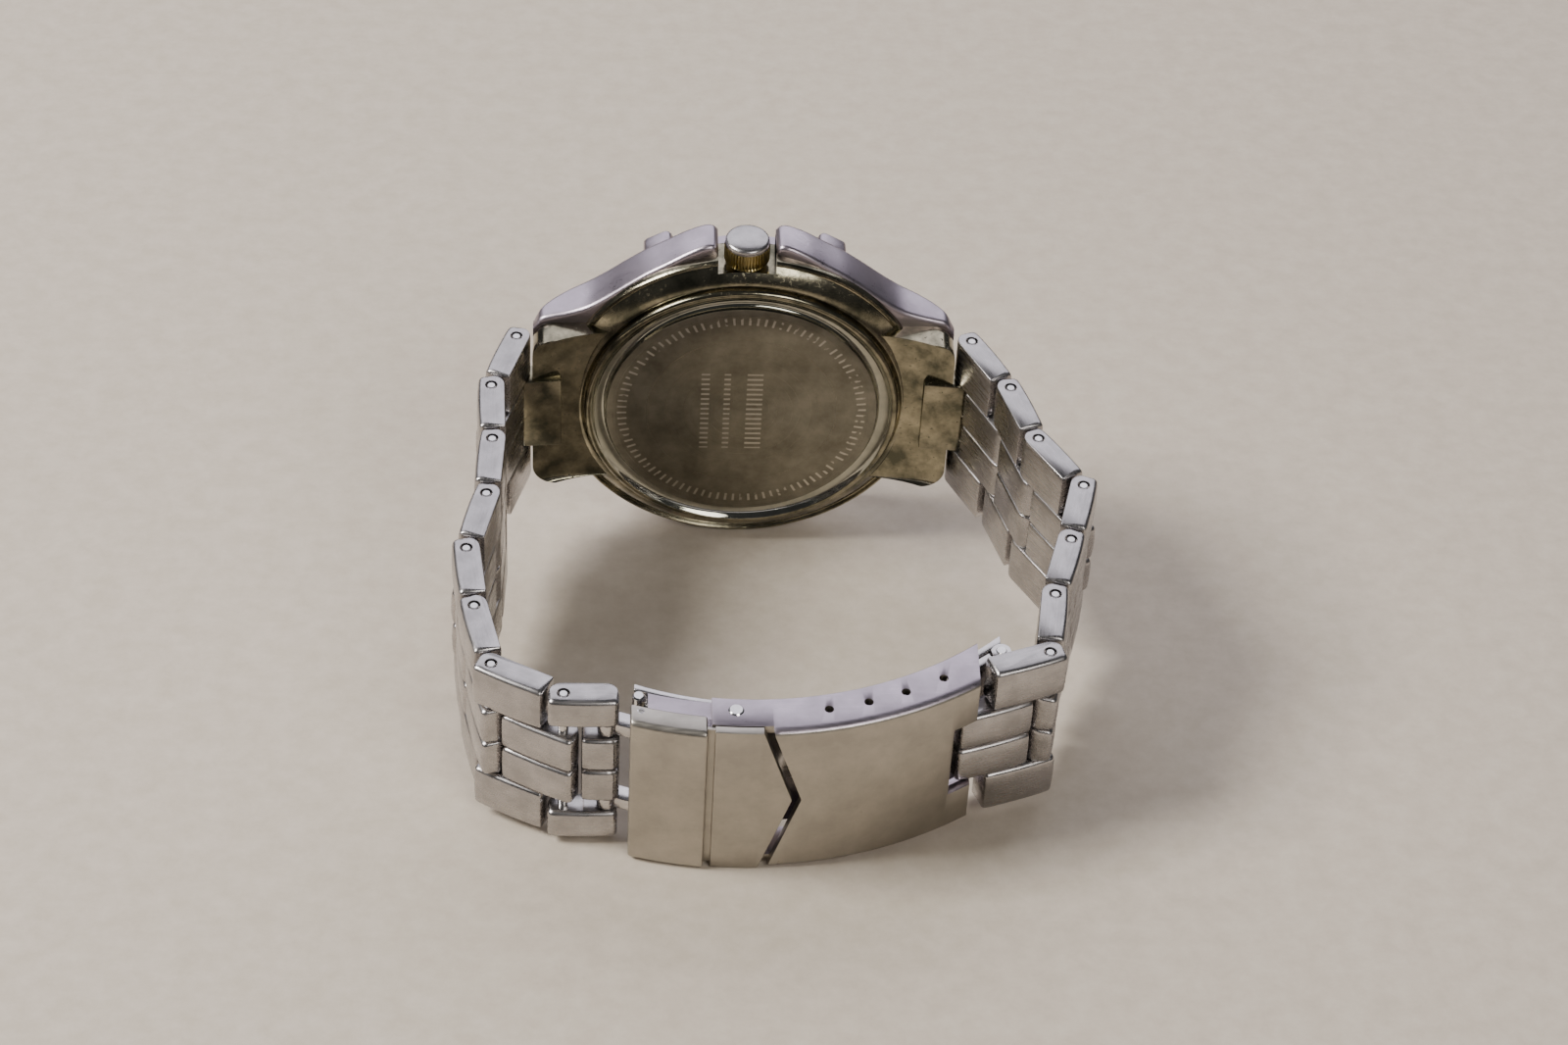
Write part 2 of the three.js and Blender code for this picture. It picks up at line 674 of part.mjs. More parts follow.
function middleBlade() {
  const half = BLADE_HALF;
  const plate = alongWidth(curved(-2.2, FOLD_TWO.x, 4.4, 5.2, 14, MIDDLE_RISE), -half, half);
  const first = rod(FOLD_ONE, KNUCKLE + 0.1, -half, half, 16);
  const neck = alongWidth(curved(-2.8, -0.8, 3.2, 4.8, 2), -half, half);
  const second = rod(FOLD_TWO, KNUCKLE, -half, half, 16);
  const gaps = [-1, 1].map((way) => {
    const [low, high] = [way * EYE_HALF, way * (half + 1)].sort((a, b) => a - b);
    return rod(FOLD_TWO, KNUCKLE + 0.3, low, high, 16);
  });
  const bores = [FOLD_ONE, FOLD_TWO].map((at) => rod(at, HOLE_RADIUS, -half - 1, half + 1));
  return carve([plate, first, neck, second], [...gaps, ...bores]);
}

function innerBlade() {
  const half = BLADE_HALF;
  const left = CLASP_LEFT + 0.4;
  const earRight = CLASP_LEFT + 5;
  const plate = alongWidth(curved(left, FOLD_TWO.x, 5.75, 6.5, 16, INNER_RISE), -half, half);
  const second = rod(FOLD_TWO, KNUCKLE, -half, half, 16);
  const ears = [-1, 1].flatMap((way) => {
    const [low, high] = [way * EAR_INNER, way * EAR_OUTER].sort((a, b) => a - b);
    return [
      alongWidth(curved(END_PIN.x, earRight, 2.2, 4, 6), low, high),
      alongWidth(curved(left, earRight, 2.2, 6, 4), low, high),
      rod(END_PIN, EAR_REACH, low, high, 16),
    ];
  });
  const gap = rod(FOLD_TWO, KNUCKLE + 0.3, -EYE_HALF - CLEARANCE, EYE_HALF + CLEARANCE, 16);
  const bores = [END_PIN, FOLD_TWO].map((at) => rod(at, HOLE_RADIUS, -9, 9));
  const catchBore = rod(CATCH_PIN, PIN_RADIUS + 0.12, -9, 9);
  return carve([plate, second, ...ears], [gap, catchBore, ...bores]);
}

// Assembly.

const leftPins = chain(-1, { x: -LUG_PIN.x, y: LUG_PIN.y }, LEFT_HEADINGS, {
  x: END_PIN.x - END_LINK_PITCH,
  y: END_PIN.y,
});
const rightPins = chain(1, { x: LUG_PIN.x, y: LUG_PIN.y }, RIGHT_HEADINGS, CLASP_BAR);

const watch = new THREE.Group();
watch.add(
  named('mid_case', midCase(), sideSteel),
  named('case_back', caseBack(), brushedBack),
  named('case_back_gasket', ring(15.3, 16.1, CASE_LOW - 0.08, CASE_LOW - 0.02, 24), rubber),
  named('crystal', crystal(), glass),
  named('chapter_ring', chapterRing(), ringPaint),
  named('dial', dialPlate(), dialPaint),
  named('movement_plate', movementPlate(), brass),
  named('movement_holder', movementHolder(), holderPlastic),
  named('circuit_board', circuitBoard(), plastic(0x1f5a35, 0.5)),
  named('battery', battery(), polishedSteel),
  named('coil', coil(), copper),
  named('crown_tube', crownTube(), polishedSteel),
  named('bezel', bezel(), sideSteel),
  named('bezel_click_spring', clickSpring(), polishedSteel),
  named('crown', crown(), brass),
  named('winding_stem', windingStem(), polishedSteel),
  named('crown_gasket', crownGasket(), rubber),
  pointing(named('hour_hand', postedHand(8, 1.5, 1.1, 6.3, 0.2, 0.65, 0.5), polishedSteel), -55),
  pointing(named('minute_hand', postedHand(11.6, 1.1, 0.9, 6.65, 0.2, 0.42, 0.27), polishedSteel), 60),
  pointing(named('second_hand', postedHand(12, 0.4, 0.7, 7, 0.15, 0.2, 0), polishedSteel), 210),
  ...strand('left', -1, [...leftPins, END_PIN], true),
  pinAt('left_end_pin', END_PIN, EAR_INNER - 0.3),
  ...strand('right', 1, rightPins, false),
  pinAt('clasp_spring_bar', CLASP_BAR, claspHalf - WALL - 0.1),
  named('clasp_cover', claspCover(), satinSteel),
  named('flip_lock', flipLock(), satinSteel),
  named('middle_blade', middleBlade(), polishedSteel),
  named('inner_blade', innerBlade(), polishedSteel),
  pinAt('flip_lock_pin', LOCK_PIN, claspHalf - 0.05),
  pinAt('catch_pin', CATCH_PIN, claspHalf - 0.05, PIN_RADIUS + 0.05),
  pinAt('fold_pin_1', FOLD_ONE, claspHalf - 0.05),
  pinAt('fold_pin_2', FOLD_TWO, BLADE_HALF - 0.05),
);

// The watch leans until the clasp's lower edge touches the ground with the case.
const claspLevel = CLASP_CENTRE.y - CLASP_RADIUS;
const LEAN = Math.atan2(CASE_RADIUS - CLASP_WIDTH / 2, CASE_LOW - claspLevel);
watch.rotation.x = LEAN;
watch.updateMatrixWorld(true);
const box = new THREE.Box3().setFromObject(watch, true);
watch.position.set(
  -(box.min.x + box.max.x) / 2,
  -(box.min.y + box.max.y) / 2,
  -box.min.z,
);

const root = new THREE.Group();
root.add(watch);
export default root;
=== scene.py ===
# The looks of a quartz wristwatch that stands on its nine o'clock edge.
#
# Pieces are modelled in millimetres in the watch's own frame, where +X runs
# from six to twelve o'clock, +Y from the case back to the dial and +Z from
# nine to three o'clock. The frame's own joints say where that frame lies.
import json
import math

import bmesh
import bpy
from mathutils import Matrix, Vector


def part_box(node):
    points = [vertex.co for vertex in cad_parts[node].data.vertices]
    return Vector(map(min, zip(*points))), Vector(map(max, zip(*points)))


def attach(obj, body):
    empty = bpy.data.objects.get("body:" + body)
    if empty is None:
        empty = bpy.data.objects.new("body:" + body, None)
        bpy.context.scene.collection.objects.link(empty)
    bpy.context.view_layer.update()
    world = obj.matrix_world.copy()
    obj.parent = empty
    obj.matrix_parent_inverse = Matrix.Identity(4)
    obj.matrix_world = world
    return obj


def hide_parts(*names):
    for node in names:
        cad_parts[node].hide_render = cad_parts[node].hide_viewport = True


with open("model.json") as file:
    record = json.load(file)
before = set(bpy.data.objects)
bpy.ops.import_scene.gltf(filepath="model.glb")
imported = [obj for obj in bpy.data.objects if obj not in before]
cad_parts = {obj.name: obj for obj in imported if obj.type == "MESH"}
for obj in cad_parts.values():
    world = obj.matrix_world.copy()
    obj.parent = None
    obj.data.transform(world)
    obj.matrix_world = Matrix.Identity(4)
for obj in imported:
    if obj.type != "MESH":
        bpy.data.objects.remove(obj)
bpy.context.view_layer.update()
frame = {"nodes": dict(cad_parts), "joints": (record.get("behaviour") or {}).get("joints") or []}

MM = 0.001
JOINTS = {joint["name"]: joint for joint in frame["joints"]}

# The watch's own frame.
CENTRE = Vector(JOINTS["bezel_turn"]["pos_m"])
OUTWARD = -Vector(JOINTS["bezel_turn"]["axis"]).normalized()
ACROSS = Vector(JOINTS["crown_pull"]["axis"]).normalized()
ALONG = OUTWARD.cross(ACROSS)
WATCH = Matrix.Translation(CENTRE) @ Matrix((ALONG, OUTWARD, ACROSS)).transposed().to_4x4()
TO_WATCH = WATCH.inverted()

# Driving dimensions, in millimetres, as in the CAD model.
LUG_SPAN = 44
LUG_WIDTH = 20.4
LUG_CORNER = 2.4
CASE_RADIUS = 19.4
CASE_LOW = 1
CASE_TOP = 7
GUARD_LOW = 2.9
CROWN_GAP = 6
CROWN_LEVEL = 4
BACK_RIM_RADIUS = 16.6
BACK_DISC_RADIUS = 14.5
BEZEL_RADIUS = 17.2
CRYSTAL_RADIUS = 14.2
LINK_HALF = 1.4  # half the thickness of a link
PIN_END = 1.5  # from a pin's axis to the round end of its row
SEAT = 1.75  # from a pin's axis to the square end that faces it
FIRST_HALF_WIDTH = 10
HALF_TAPER = 0.04
TONGUE_SHARE = 0.46
ROW_GAP = 0.15
PIN_RADIUS = 0.5
CLASP_RADIUS = 40
CLASP_CENTRE = Vector((-0.5, -14.6))
CLASP_HALF = 9.7
CLASP_LEFT = -12
COVER_RIGHT = 21.4
ROUND = 128  # facets round the large rings
CHAMBER_RADIUS = 15.5
CROWN_TEETH = 44
BEVEL_ANGLE = 32  # sharper edges than this are bevelled
ROW_GROOVE = 0.09  # half the groove between a link's two middle rows
ROW_SOFT = 0.5  # rounding of a row's outer edges
ROW_CRISP = 0.12  # rounding of its edges on the wrist side
ROW_CROWN = 0.14  # how far a row's outer face rises between its edges

# The last left link, whose ears sit in slots of the inner blade.
END_ROW_PAST = 1.1  # from its last pin to the end of its outer rows
END_TONGUE_PAST = 1.2
END_ROW_FROM = 6.15
END_TONGUE_HALF = 4.35
END_EARS = (4.55, 5.95)


def in_watch(point):
    """A point of the row frame, in millimetres in the watch's frame."""
    return TO_WATCH @ Vector(point) / MM


def joint_at(name):
    return in_watch(JOINTS[name]["pos_m"])


def node_at(name):
    low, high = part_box(name)
    return in_watch((low + high) / 2)


# Mesh building.


def circle(steps):
    """Points of the unit circle, as (cosine, sine)."""
    angles = [2 * math.pi * step / steps for step in range(steps)]
    return [(math.cos(a), math.sin(a)) for a in angles]


def turned(points, degrees):
    """Flat points turned about the origin."""
    c, s = math.cos(math.radians(degrees)), math.sin(math.radians(degrees))
    return [(x * c - z * s, x * s + z * c) for x, z in points]


def both_sides(near, far):
    """The same span of Z on the two sides of the middle."""
    return [(-far, -near), (near, far)]


def loft(bm, rings, caps=True):
    """Joins equal rings of points with quads, and closes both ends."""
    rows = [[bm.verts.new(point) for point in ring] for ring in rings]
    for first, second in zip(rows, rows[1:]):
        for index in range(len(first)):
            after = (index + 1) % len(first)
            bm.faces.new((first[index], first[after], second[after], second[index]))
    if caps:
        bm.faces.new(rows[0][::-1])
        bm.faces.new(rows[-1])


def lathe(bm, profile, steps=ROUND, closed=False):
    """Turns [radius, level] pairs about the watch's Y axis."""
    rings = []
    for radius, level in profile:
        count = steps if radius else 1
        rings.append([bm.verts.new((radius * c, level, radius * s)) for c, s in circle(count)])
    pairs = list(zip(rings, rings[1:]))
    if closed:
        pairs.append((rings[-1], rings[0]))
    for first, second in pairs:
        for index in range(steps):
            corners = [
                first[index % len(first)],
                first[(index + 1) % len(first)],
                second[(index + 1) % len(second)],
                second[index % len(second)],
            ]
            bm.faces.new(list(dict.fromkeys(corners)))


def rod(bm, at, radius, low, high, steps=24, dome=0.0):
    """A rod along Z, whose ends are domed if a dome's height is given."""
    sections = [(low, 1), (high, 1)]
    if dome:
        sections = [(low, 0.72), (low + dome * 0.6, 0.92), (low + dome, 1)]
        sections += [(high - dome, 1), (high - dome * 0.6, 0.92), (high, 0.72)]
    rings = []
    for level, share in sections:
        reach = radius * share
        rings.append([(at.x + reach * c, at.y + reach * s, level) for c, s in circle(steps)])
    loft(bm, rings)


def prism(bm, outline, low, high, axis="z"):
    """An outline drawn out along one axis."""
    place = {
        "z": lambda a, b, level: (a, b, level),
        "y": lambda a, b, level: (a, level, b),
    }[axis]
    loft(bm, [[place(a, b, level) for a, b in outline] for level in (low, high)])


def as_object(name, bm, place=WATCH):
    """Makes an object of a mesh in millimetres, and uses the mesh up."""
    bmesh.ops.recalc_face_normals(bm, faces=bm.faces)
    mesh = bpy.data.meshes.new(name)
    bm.to_mesh(mesh)
    bm.free()
    mesh.transform(Matrix.Scale(MM, 4))
    thing = bpy.data.objects.new(name, mesh)
    bpy.context.scene.collection.objects.link(thing)
    thing.matrix_world = place
    return thing


def settle(thing):
    """Makes the modifiers' result the object's own mesh."""
    bpy.context.view_layer.update()
    graph = bpy.context.evaluated_depsgraph_get()
    mesh = bpy.data.meshes.new_from_object(thing.evaluated_get(graph))
    thing.modifiers.clear()
    thing.data = mesh


def cut(thing, cutter, operation="DIFFERENCE"):
    """Applies a boolean, after which the cutter is thrown away."""
    modifier = thing.modifiers.new("cut", "BOOLEAN")
    modifier.operation = operation
    modifier.solver = "EXACT"
    modifier.object = cutter
    settle(thing)
    bpy.data.objects.remove(cutter)


def add_shells(thing, bm):
    """Adds more closed shells to a finished mesh."""
    bmesh.ops.recalc_face_normals(bm, faces=bm.faces)
    extra = bpy.data.meshes.new("extra")
    bm.to_mesh(extra)
    bm.free()
    extra.transform(Matrix.Scale(MM, 4))
    whole = bmesh.new()
    whole.from_mesh(thing.data)
    whole.from_mesh(extra)
    whole.to_mesh(thing.data)
    whole.free()


def bevel(thing, width, segments=3):
    modifier = thing.modifiers.new("bevel", "BEVEL")
    modifier.width = width * MM
    modifier.segments = segments
    modifier.limit_method = "ANGLE"
    modifier.angle_limit = math.radians(BEVEL_ANGLE)
    settle(thing)


def dress(thing, body, material, nodes=(), smooth=32):
    """Finishes a piece: shading, material, body and the nodes it stands for."""
    thing.data.shade_smooth()
    thing.data.set_sharp_from_angle(angle=math.radians(smooth))
    thing.data.materials.clear()
    thing.data.materials.append(material)
    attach(thing, body)
    if nodes:
        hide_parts(*nodes)
    return thing


def paint_faces(thing, material, chosen):
    """Gives another material to the faces that a test picks."""
    thing.data.materials.append(material)
    index = len(thing.data.materials) - 1
    for face in thing.data.polygons:
        if chosen(face):
            face.material_index = index


# Materials.


class Nodes:
    """A short way to add and link shader nodes."""

    def __init__(self, name):
        self.material = bpy.data.materials.new(name)
        self.material.use_nodes = True
        self.tree = self.material.node_tree
        self.shader = self.tree.nodes["Principled BSDF"]

    def add(self, kind, **values):
        node = self.tree.nodes.new("ShaderNode" + kind)
        for key, value in values.items():
            setattr(node, key, value)
        return node

    def link(self, output, socket):
        self.tree.links.new(output, socket)

    def coords(self, stretch=(1, 1, 1)):
        """Object coordinates in millimetres, stretched along the axes."""
        source = self.add("TexCoord")
        mapping = self.add("Mapping")
        mapping.inputs["Scale"].default_value = [share / MM for share in stretch]
        self.link(source.outputs["Object"], mapping.inputs["Vector"])
        return mapping.outputs["Vector"]

    def noise(self, stretch, scale, detail=3.0, roughness=0.55):
        node = self.add("TexNoise")
        node.inputs["Scale"].default_value = scale
        node.inputs["Detail"].default_value = detail
        node.inputs["Roughness"].default_value = roughness
        self.link(self.coords(stretch), node.inputs["Vector"])
        return node.outputs["Fac"]

    def ranged(self, value, low, high, start=0.0, end=1.0):
        node = self.add("MapRange")
        node.inputs["From Min"].default_value = low
        node.inputs["From Max"].default_value = high
        node.inputs["To Min"].default_value = start
        node.inputs["To Max"].default_value = end
        self.link(value, node.inputs["Value"])
        return node.outputs["Result"]

    def math(self, operation, first, second=None):
        node = self.add("Math", operation=operation)
        for socket, value in zip(node.inputs, (first, second)):
            if value is None:
                continue
            if isinstance(value, (int, float)):
                socket.default_value = value
            else:
                self.link(value, socket)
        return node.outputs["Value"]

    def mix(self, share, first, second):
        node = self.add("Mix", data_type="RGBA")
        self.link(share, node.inputs["Factor"])
        for socket, value in ((node.inputs[6], first), (node.inputs[7], second)):
            if isinstance(value, tuple):
                socket.default_value = (*value, 1)
            else:
                self.link(value, socket)
        return node.outputs[2]

    def polar(self, x, z):
        """The distance from the middle, and the angle from -pi to pi."""
        square = self.math("ADD", self.math("MULTIPLY", x, x), self.math("MULTIPLY", z, z))
        return self.math("SQRT", square), self.math("ARCTAN2", z, x)

    def bump(self, height, strength, distance=0.02):
        node = self.add("Bump")
        node.inputs["Strength"].default_value = strength
        node.inputs["Distance"].default_value = distance * MM
        self.link(height, node.inputs["Height"])
        self.link(node.outputs["Normal"], self.shader.inputs["Normal"])


def metal(name, light, dark, rough, brush, bump=0.12, specks=0.0, speck_colour=(0.02, 0.02, 0.015)):
    """Worn metal: fine brushing along one direction, blotches and dark specks."""
    n = Nodes(name)
    n.shader.inputs["Metallic"].default_value = 1
    lines = n.noise(brush, 6, 4)
    blotch = n.noise((1, 1, 1), 0.32, 4, 0.62)
    colour = n.mix(n.ranged(blotch, 0.35, 0.68), dark, light)
    grain = n.noise((1, 1, 1), 2.6, 5, 0.7)
    height = n.math("MULTIPLY", lines, 0.7)
    rough_value = n.math(
        "ADD",
        n.ranged(lines, 0.3, 0.7, rough - 0.06, rough + 0.06),
        n.ranged(blotch, 0.3, 0.7, 0.05, -0.05),
    )
    if specks:
        pits = n.ranged(grain, 0.5 + 0.16 / specks, 0.5 + 0.26 / specks)
        worn = n.math("MULTIPLY", pits, n.ranged(blotch, 0.42, 0.6, 0.15, 1))
        colour = n.mix(worn, colour, speck_colour)
        rough_value = n.math("ADD", rough_value, n.math("MULTIPLY", worn, 0.3))
        height = n.math("SUBTRACT", height, n.math("MULTIPLY", worn, 1.5))
    n.link(colour, n.shader.inputs["Base Color"])
    n.link(rough_value, n.shader.inputs["Roughness"])
    n.bump(height, bump)
    return n.material


TICKS = 96
DASH_PITCH = 0.7
DASH_LINES = ((-4.3, -3.5), (-1.9, -1.3), (0.5, 2.1))


def disc_metal(name):
    """The case back's disc: brushed in circles, with a ring of plain ticks and dashes."""
    n = Nodes(name)
    shader = n.shader
    shader.inputs["Metallic"].default_value = 1
    shader.inputs["Anisotropic"].default_value = 0.75
    tangent = n.add("Tangent", direction_type="RADIAL", axis="Y")
    n.link(tangent.outputs["Tangent"], shader.inputs["Tangent"])
    parts = n.add("SeparateXYZ")
    n.link(n.coords(), parts.inputs["Vector"])
    x, z = parts.outputs["X"], parts.outputs["Z"]
    radius, angle = n.polar(x, z)

    def band(value, low, high, soft=0.08):
        rise = n.ranged(value, low - soft, low)
        fall = n.ranged(value, high, high + soft, 1, 0)
        return n.math("MULTIPLY", rise, fall)

    turn = n.math("FRACT", n.math("MULTIPLY", n.math("ADD", angle, math.pi), TICKS / (2 * math.pi)))
    gate = n.noise((1, 1, 1), 0.9, 1)
    ticks = n.math("MULTIPLY", band(radius, 12.2, 13.1), band(turn, 0.3, 0.55, 0.05))
    ticks = n.math("MULTIPLY", ticks, n.ranged(gate, 0.4, 0.45))
    row = n.math("FRACT", n.math("MULTIPLY", z, 1 / DASH_PITCH))
    dashes = band(row, 0.3, 0.6, 0.06)
    lines = band(x, *DASH_LINES[0])
    for low, high in DASH_LINES[1:]:
        lines = n.math("ADD", lines, band(x, low, high))
    near = n.ranged(n.math("ABSOLUTE", z), 5.2, 5.4, 1, 0)
    dashes = n.math("MULTIPLY", n.math("MULTIPLY", dashes, lines), near)
    marks = n.math("MINIMUM", n.math("ADD", ticks, dashes), 1)

    rings = n.add("TexNoise", noise_dimensions="1D")
    rings.inputs["Scale"].default_value = 9
    rings.inputs["Detail"].default_value = 4
    n.link(radius, rings.inputs["W"])
    blotch = n.noise((1, 1, 1), 0.25, 5, 0.65)
    base = n.mix(n.ranged(blotch, 0.35, 0.65), (0.16, 0.148, 0.115), (0.26, 0.245, 0.195))
    n.link(n.mix(marks, base, (0.5, 0.47, 0.4)), shader.inputs["Base Color"])
    n.link(n.ranged(rings.outputs["Fac"], 0.3, 0.7, 0.27, 0.4), shader.inputs["Roughness"])
    height = n.math("ADD", n.math("MULTIPLY", rings.outputs["Fac"], 0.3), n.math("MULTIPLY", marks, -1))
    n.bump(height, 0.3, 0.05)
    return n.material


def plain(name, light, dark, rough, scale=1.5, coat=0.0):
    """Paint, plastic or rubber with a faint mottle."""
    n = Nodes(name)
    n.shader.inputs["Coat Weight"].default_value = coat
    mottle = n.noise((1, 1, 1), scale, 4)
    n.link(n.mix(n.ranged(mottle, 0.3, 0.7), dark, light), n.shader.inputs["Base Color"])
    n.link(n.ranged(mottle, 0.3, 0.7, rough - 0.05, rough + 0.05), n.shader.inputs["Roughness"])
    n.bump(n.noise((1, 1, 1), 12, 2), 0.1, 0.01)
    return n.material


def dial_paint():
    """Blue lacquer that darkens to the rim, with a printed minute track."""
    n = Nodes("dial_paint")
    source = n.add("TexCoord")
    parts = n.add("SeparateXYZ")
    mapping = n.add("Mapping", vector_type="TEXTURE")
    mapping.inputs["Location"].default_value = WATCH.to_translation()
    mapping.inputs["Rotation"].default_value = WATCH.to_euler()
    n.link(source.outputs["Object"], mapping.inputs["Vector"])
    n.link(mapping.outputs["Vector"], parts.inputs["Vector"])
    x, z = [n.math("MULTIPLY", parts.outputs[axis], 1 / MM) for axis in "XZ"]
    radius, angle = n.polar(x, z)
    turn = n.math("FRACT", n.math("MULTIPLY", n.math("ADD", angle, math.pi), 60 / (2 * math.pi)))
    away = n.math("MINIMUM", turn, n.math("SUBTRACT", 1, turn))
    track = n.math("MULTIPLY", n.ranged(away, 0.05, 0.08, 1, 0), n.ranged(radius, 12, 12.1))
    paint = n.mix(n.ranged(radius, 3, 13.5), (0.035, 0.075, 0.2), (0.008, 0.014, 0.04))
    n.link(n.mix(track, paint, (0.8, 0.8, 0.76)), n.shader.inputs["Base Color"])
    n.link(n.ranged(n.noise((1, 1, 1), 6, 3), 0.3, 0.7, 0.28, 0.36), n.shader.inputs["Roughness"])
    n.shader.inputs["Coat Weight"].default_value = 0.5
    return n.material


def crystal_glass():
    """Clear glass with faint smears."""
    n = Nodes("crystal_glass")
    n.shader.inputs["Transmission Weight"].default_value = 1
    n.shader.inputs["IOR"].default_value = 1.5
    smear = n.noise((1, 1, 1), 0.4, 4)
    n.link(n.ranged(smear, 0.4, 0.7, 0.0, 0.05), n.shader.inputs["Roughness"])
    n.link(n.mix(smear, (0.96, 0.98, 1), (1, 1, 1)), n.shader.inputs["Base Color"])
    return n.material


def floor_paper():
    """Plain pale paper."""
    n = Nodes("floor_paper")
    fibre = n.noise((1, 1, 1), 0.35, 6, 0.7)
    colour = n.mix(n.ranged(fibre, 0.35, 0.65), (0.6, 0.52, 0.42), (0.68, 0.6, 0.5))
    n.link(colour, n.shader.inputs["Base Color"])
    n.shader.inputs["Roughness"].default_value = 0.85
    n.bump(fibre, 0.1, 0.1)
    return n.material


LONG = (0.05, 1, 1)  # brushing along a piece's X
EVEN = (1, 1, 1)  # no direction
SATIN = metal("satin_steel", (0.47, 0.44, 0.39), (0.39, 0.365, 0.325), 0.36, LONG, 0.2, 0.5)
LINK_STEEL = metal("link_steel", (0.52, 0.5, 0.5), (0.38, 0.365, 0.365), 0.28, LONG, 0.12, 0.7)
# Satin steel tinted lavender, a painted reflection of the lavender overhead light, for the guards, the bezel
# and the upward faces of the lugs and the cover.
FLANK_LAVENDER_SHEEN = metal("flank_steel_lavender_sheen", (0.5, 0.44, 0.5), (0.42, 0.37, 0.42), 0.34, LONG, 0.04)
PLATING = metal(
    "worn_plating", (0.42, 0.38, 0.27), (0.1, 0.098, 0.07), 0.17, EVEN, 0.3, 1.5, (0.012, 0.016, 0.01)
)
MIRROR = metal("mirror_ring", (0.46, 0.45, 0.38), (0.3, 0.3, 0.25), 0.07, EVEN, 0.05, 0.8)
POLISHED = metal("polished_steel", (0.78, 0.77, 0.76), (0.66, 0.65, 0.65), 0.14, EVEN, 0.04)
BLADE = metal("blade_steel", (0.68, 0.66, 0.66), (0.56, 0.54, 0.54), 0.22, LONG, 0.08)
BRASS = metal("crown_brass", (0.62, 0.51, 0.23), (0.36, 0.3, 0.14), 0.32, (1, 1, 0.05), 0.2, 0.9)
COPPER = metal("copper_wire", (0.7, 0.32, 0.16), (0.5, 0.2, 0.1), 0.35, (1, 1, 30), 0.6)
DISC = disc_metal("back_disc")
RUBBER = plain("rubber", (0.03, 0.03, 0.03), (0.015, 0.015, 0.015), 0.75)
HOLDER = plain("holder_plastic", (0.72, 0.69, 0.6), (0.62, 0.59, 0.5), 0.5)
BOARD = plain("board", (0.03, 0.16, 0.07), (0.02, 0.1, 0.05), 0.4, 3, coat=0.3)
RING_PAINT = plain("ring_paint", (0.03, 0.035, 0.045), (0.018, 0.02, 0.028), 0.42)
DIAL = dial_paint()
GLASS = crystal_glass()
LUME = plain("lume", (0.72, 0.78, 0.62), (0.62, 0.68, 0.52), 0.7, 5)


# The bracelet.


def row_outline(start, end, round_start, round_end, steps=6):
    """The side view of a row as (u, v), with the wrist side at -v."""

    def corner(u, v, radius, first, last):
        count = steps if radius > 0.3 else 2
        points = []
        for step in range(count + 1):
            a = math.radians(first + (last - first) * step / count)
            points.append((u + radius * math.cos(a), v + radius * math.sin(a)))
        return points

    # Corner radii of a round and of a square end, on the wrist side and on the outer side.
    wrist = {True: LINK_HALF - 0.05, False: 0.12}
    outer = {True: 0.55, False: 0.3}
    points = []
    r = wrist[round_end]
    points += corner(end - r, -LINK_HALF + r, r, -90, 0)
    r = outer[round_end]
    points += corner(end - r, LINK_HALF - r, r, 0, 90)
    length = end - start
    for step in range(1, 6):
        points.append((end - length * step / 6, LINK_HALF + 0.12 * math.sin(math.pi * step / 6)))
    r = outer[round_start]
    points += corner(start + r, LINK_HALF - r, r, 90, 180)
    r = wrist[round_start]
    points += corner(start + r, -LINK_HALF + r, r, 180, 270)
    return points


def add_row(bm, start, end, low, high, round_start, round_end):
    """One bar of a link, with big soft edges on its outer side."""
    outline = row_outline(start, end, round_start, round_end)
    middle = (start + end) / 2
    half_length = (end - start) / 2
    half_width = (high - low) / 2
    sections = []
    for step in range(5):
        sections.append((low + ROW_SOFT * (1 - math.cos(math.pi / 2 * step / 4)), step / 4))
    sections += [(low + (high - low) * share, 1) for share in (0.3, 0.5, 0.7)]
    for step in range(4, -1, -1):
        sections.append((high - ROW_SOFT * (1 - math.cos(math.pi / 2 * step / 4)), step / 4))
    rings = []
    for level, rise in sections:
        share_in = 1 - math.sin(math.pi / 2 * rise)
        crown = ROW_CROWN * ((level - low - half_width) / half_width) ** 2
        ring = []
        for u, v in outline:
            outer = min(max((v + 0.6) / 1.2, 0), 1)
            inset = share_in * (ROW_CRISP + (ROW_SOFT - ROW_CRISP) * outer)
            across = min(1, abs(u - middle) / half_length)
            du = -math.copysign(inset * across**3, u - middle)
            dv = -math.copysign(inset * min(1, abs(v) / LINK_HALF), v) - crown * outer
            ring.append((u + du, v + dv, level))
        rings.append(ring)
    loft(bm, rings)


def link_place(start, end, side):
    """A link's own frame: X from its pin to the next, Y outward."""
    u = (end - start).to_3d().normalized()
    v = Vector((-u.y, u.x, 0)) * side
    w = u.cross(v)
    basis = Matrix((u, v, w)).transposed().to_4x4()
    return WATCH @ Matrix.Translation(start * MM) @ basis


def add_pin(name, node, body, at, half, radius=PIN_RADIUS):
    bm = bmesh.new()
    rod(bm, at, radius, -half, half, 24, 0.22)
    dress(as_object(name, bm), body, POLISHED, [node])


def add_web(bm, pitch, half, last):
    """The hidden bar that joins a link's rows."""
    low, high = SEAT + 0.2, pitch - SEAT - 0.35
    if last:
        high = 2.0
    floor = -LINK_HALF + 0.16
    prism(bm, [(low, floor), (high, floor), (high, 0.8), (low, 0.8)], -half * 0.9, half * 0.9)


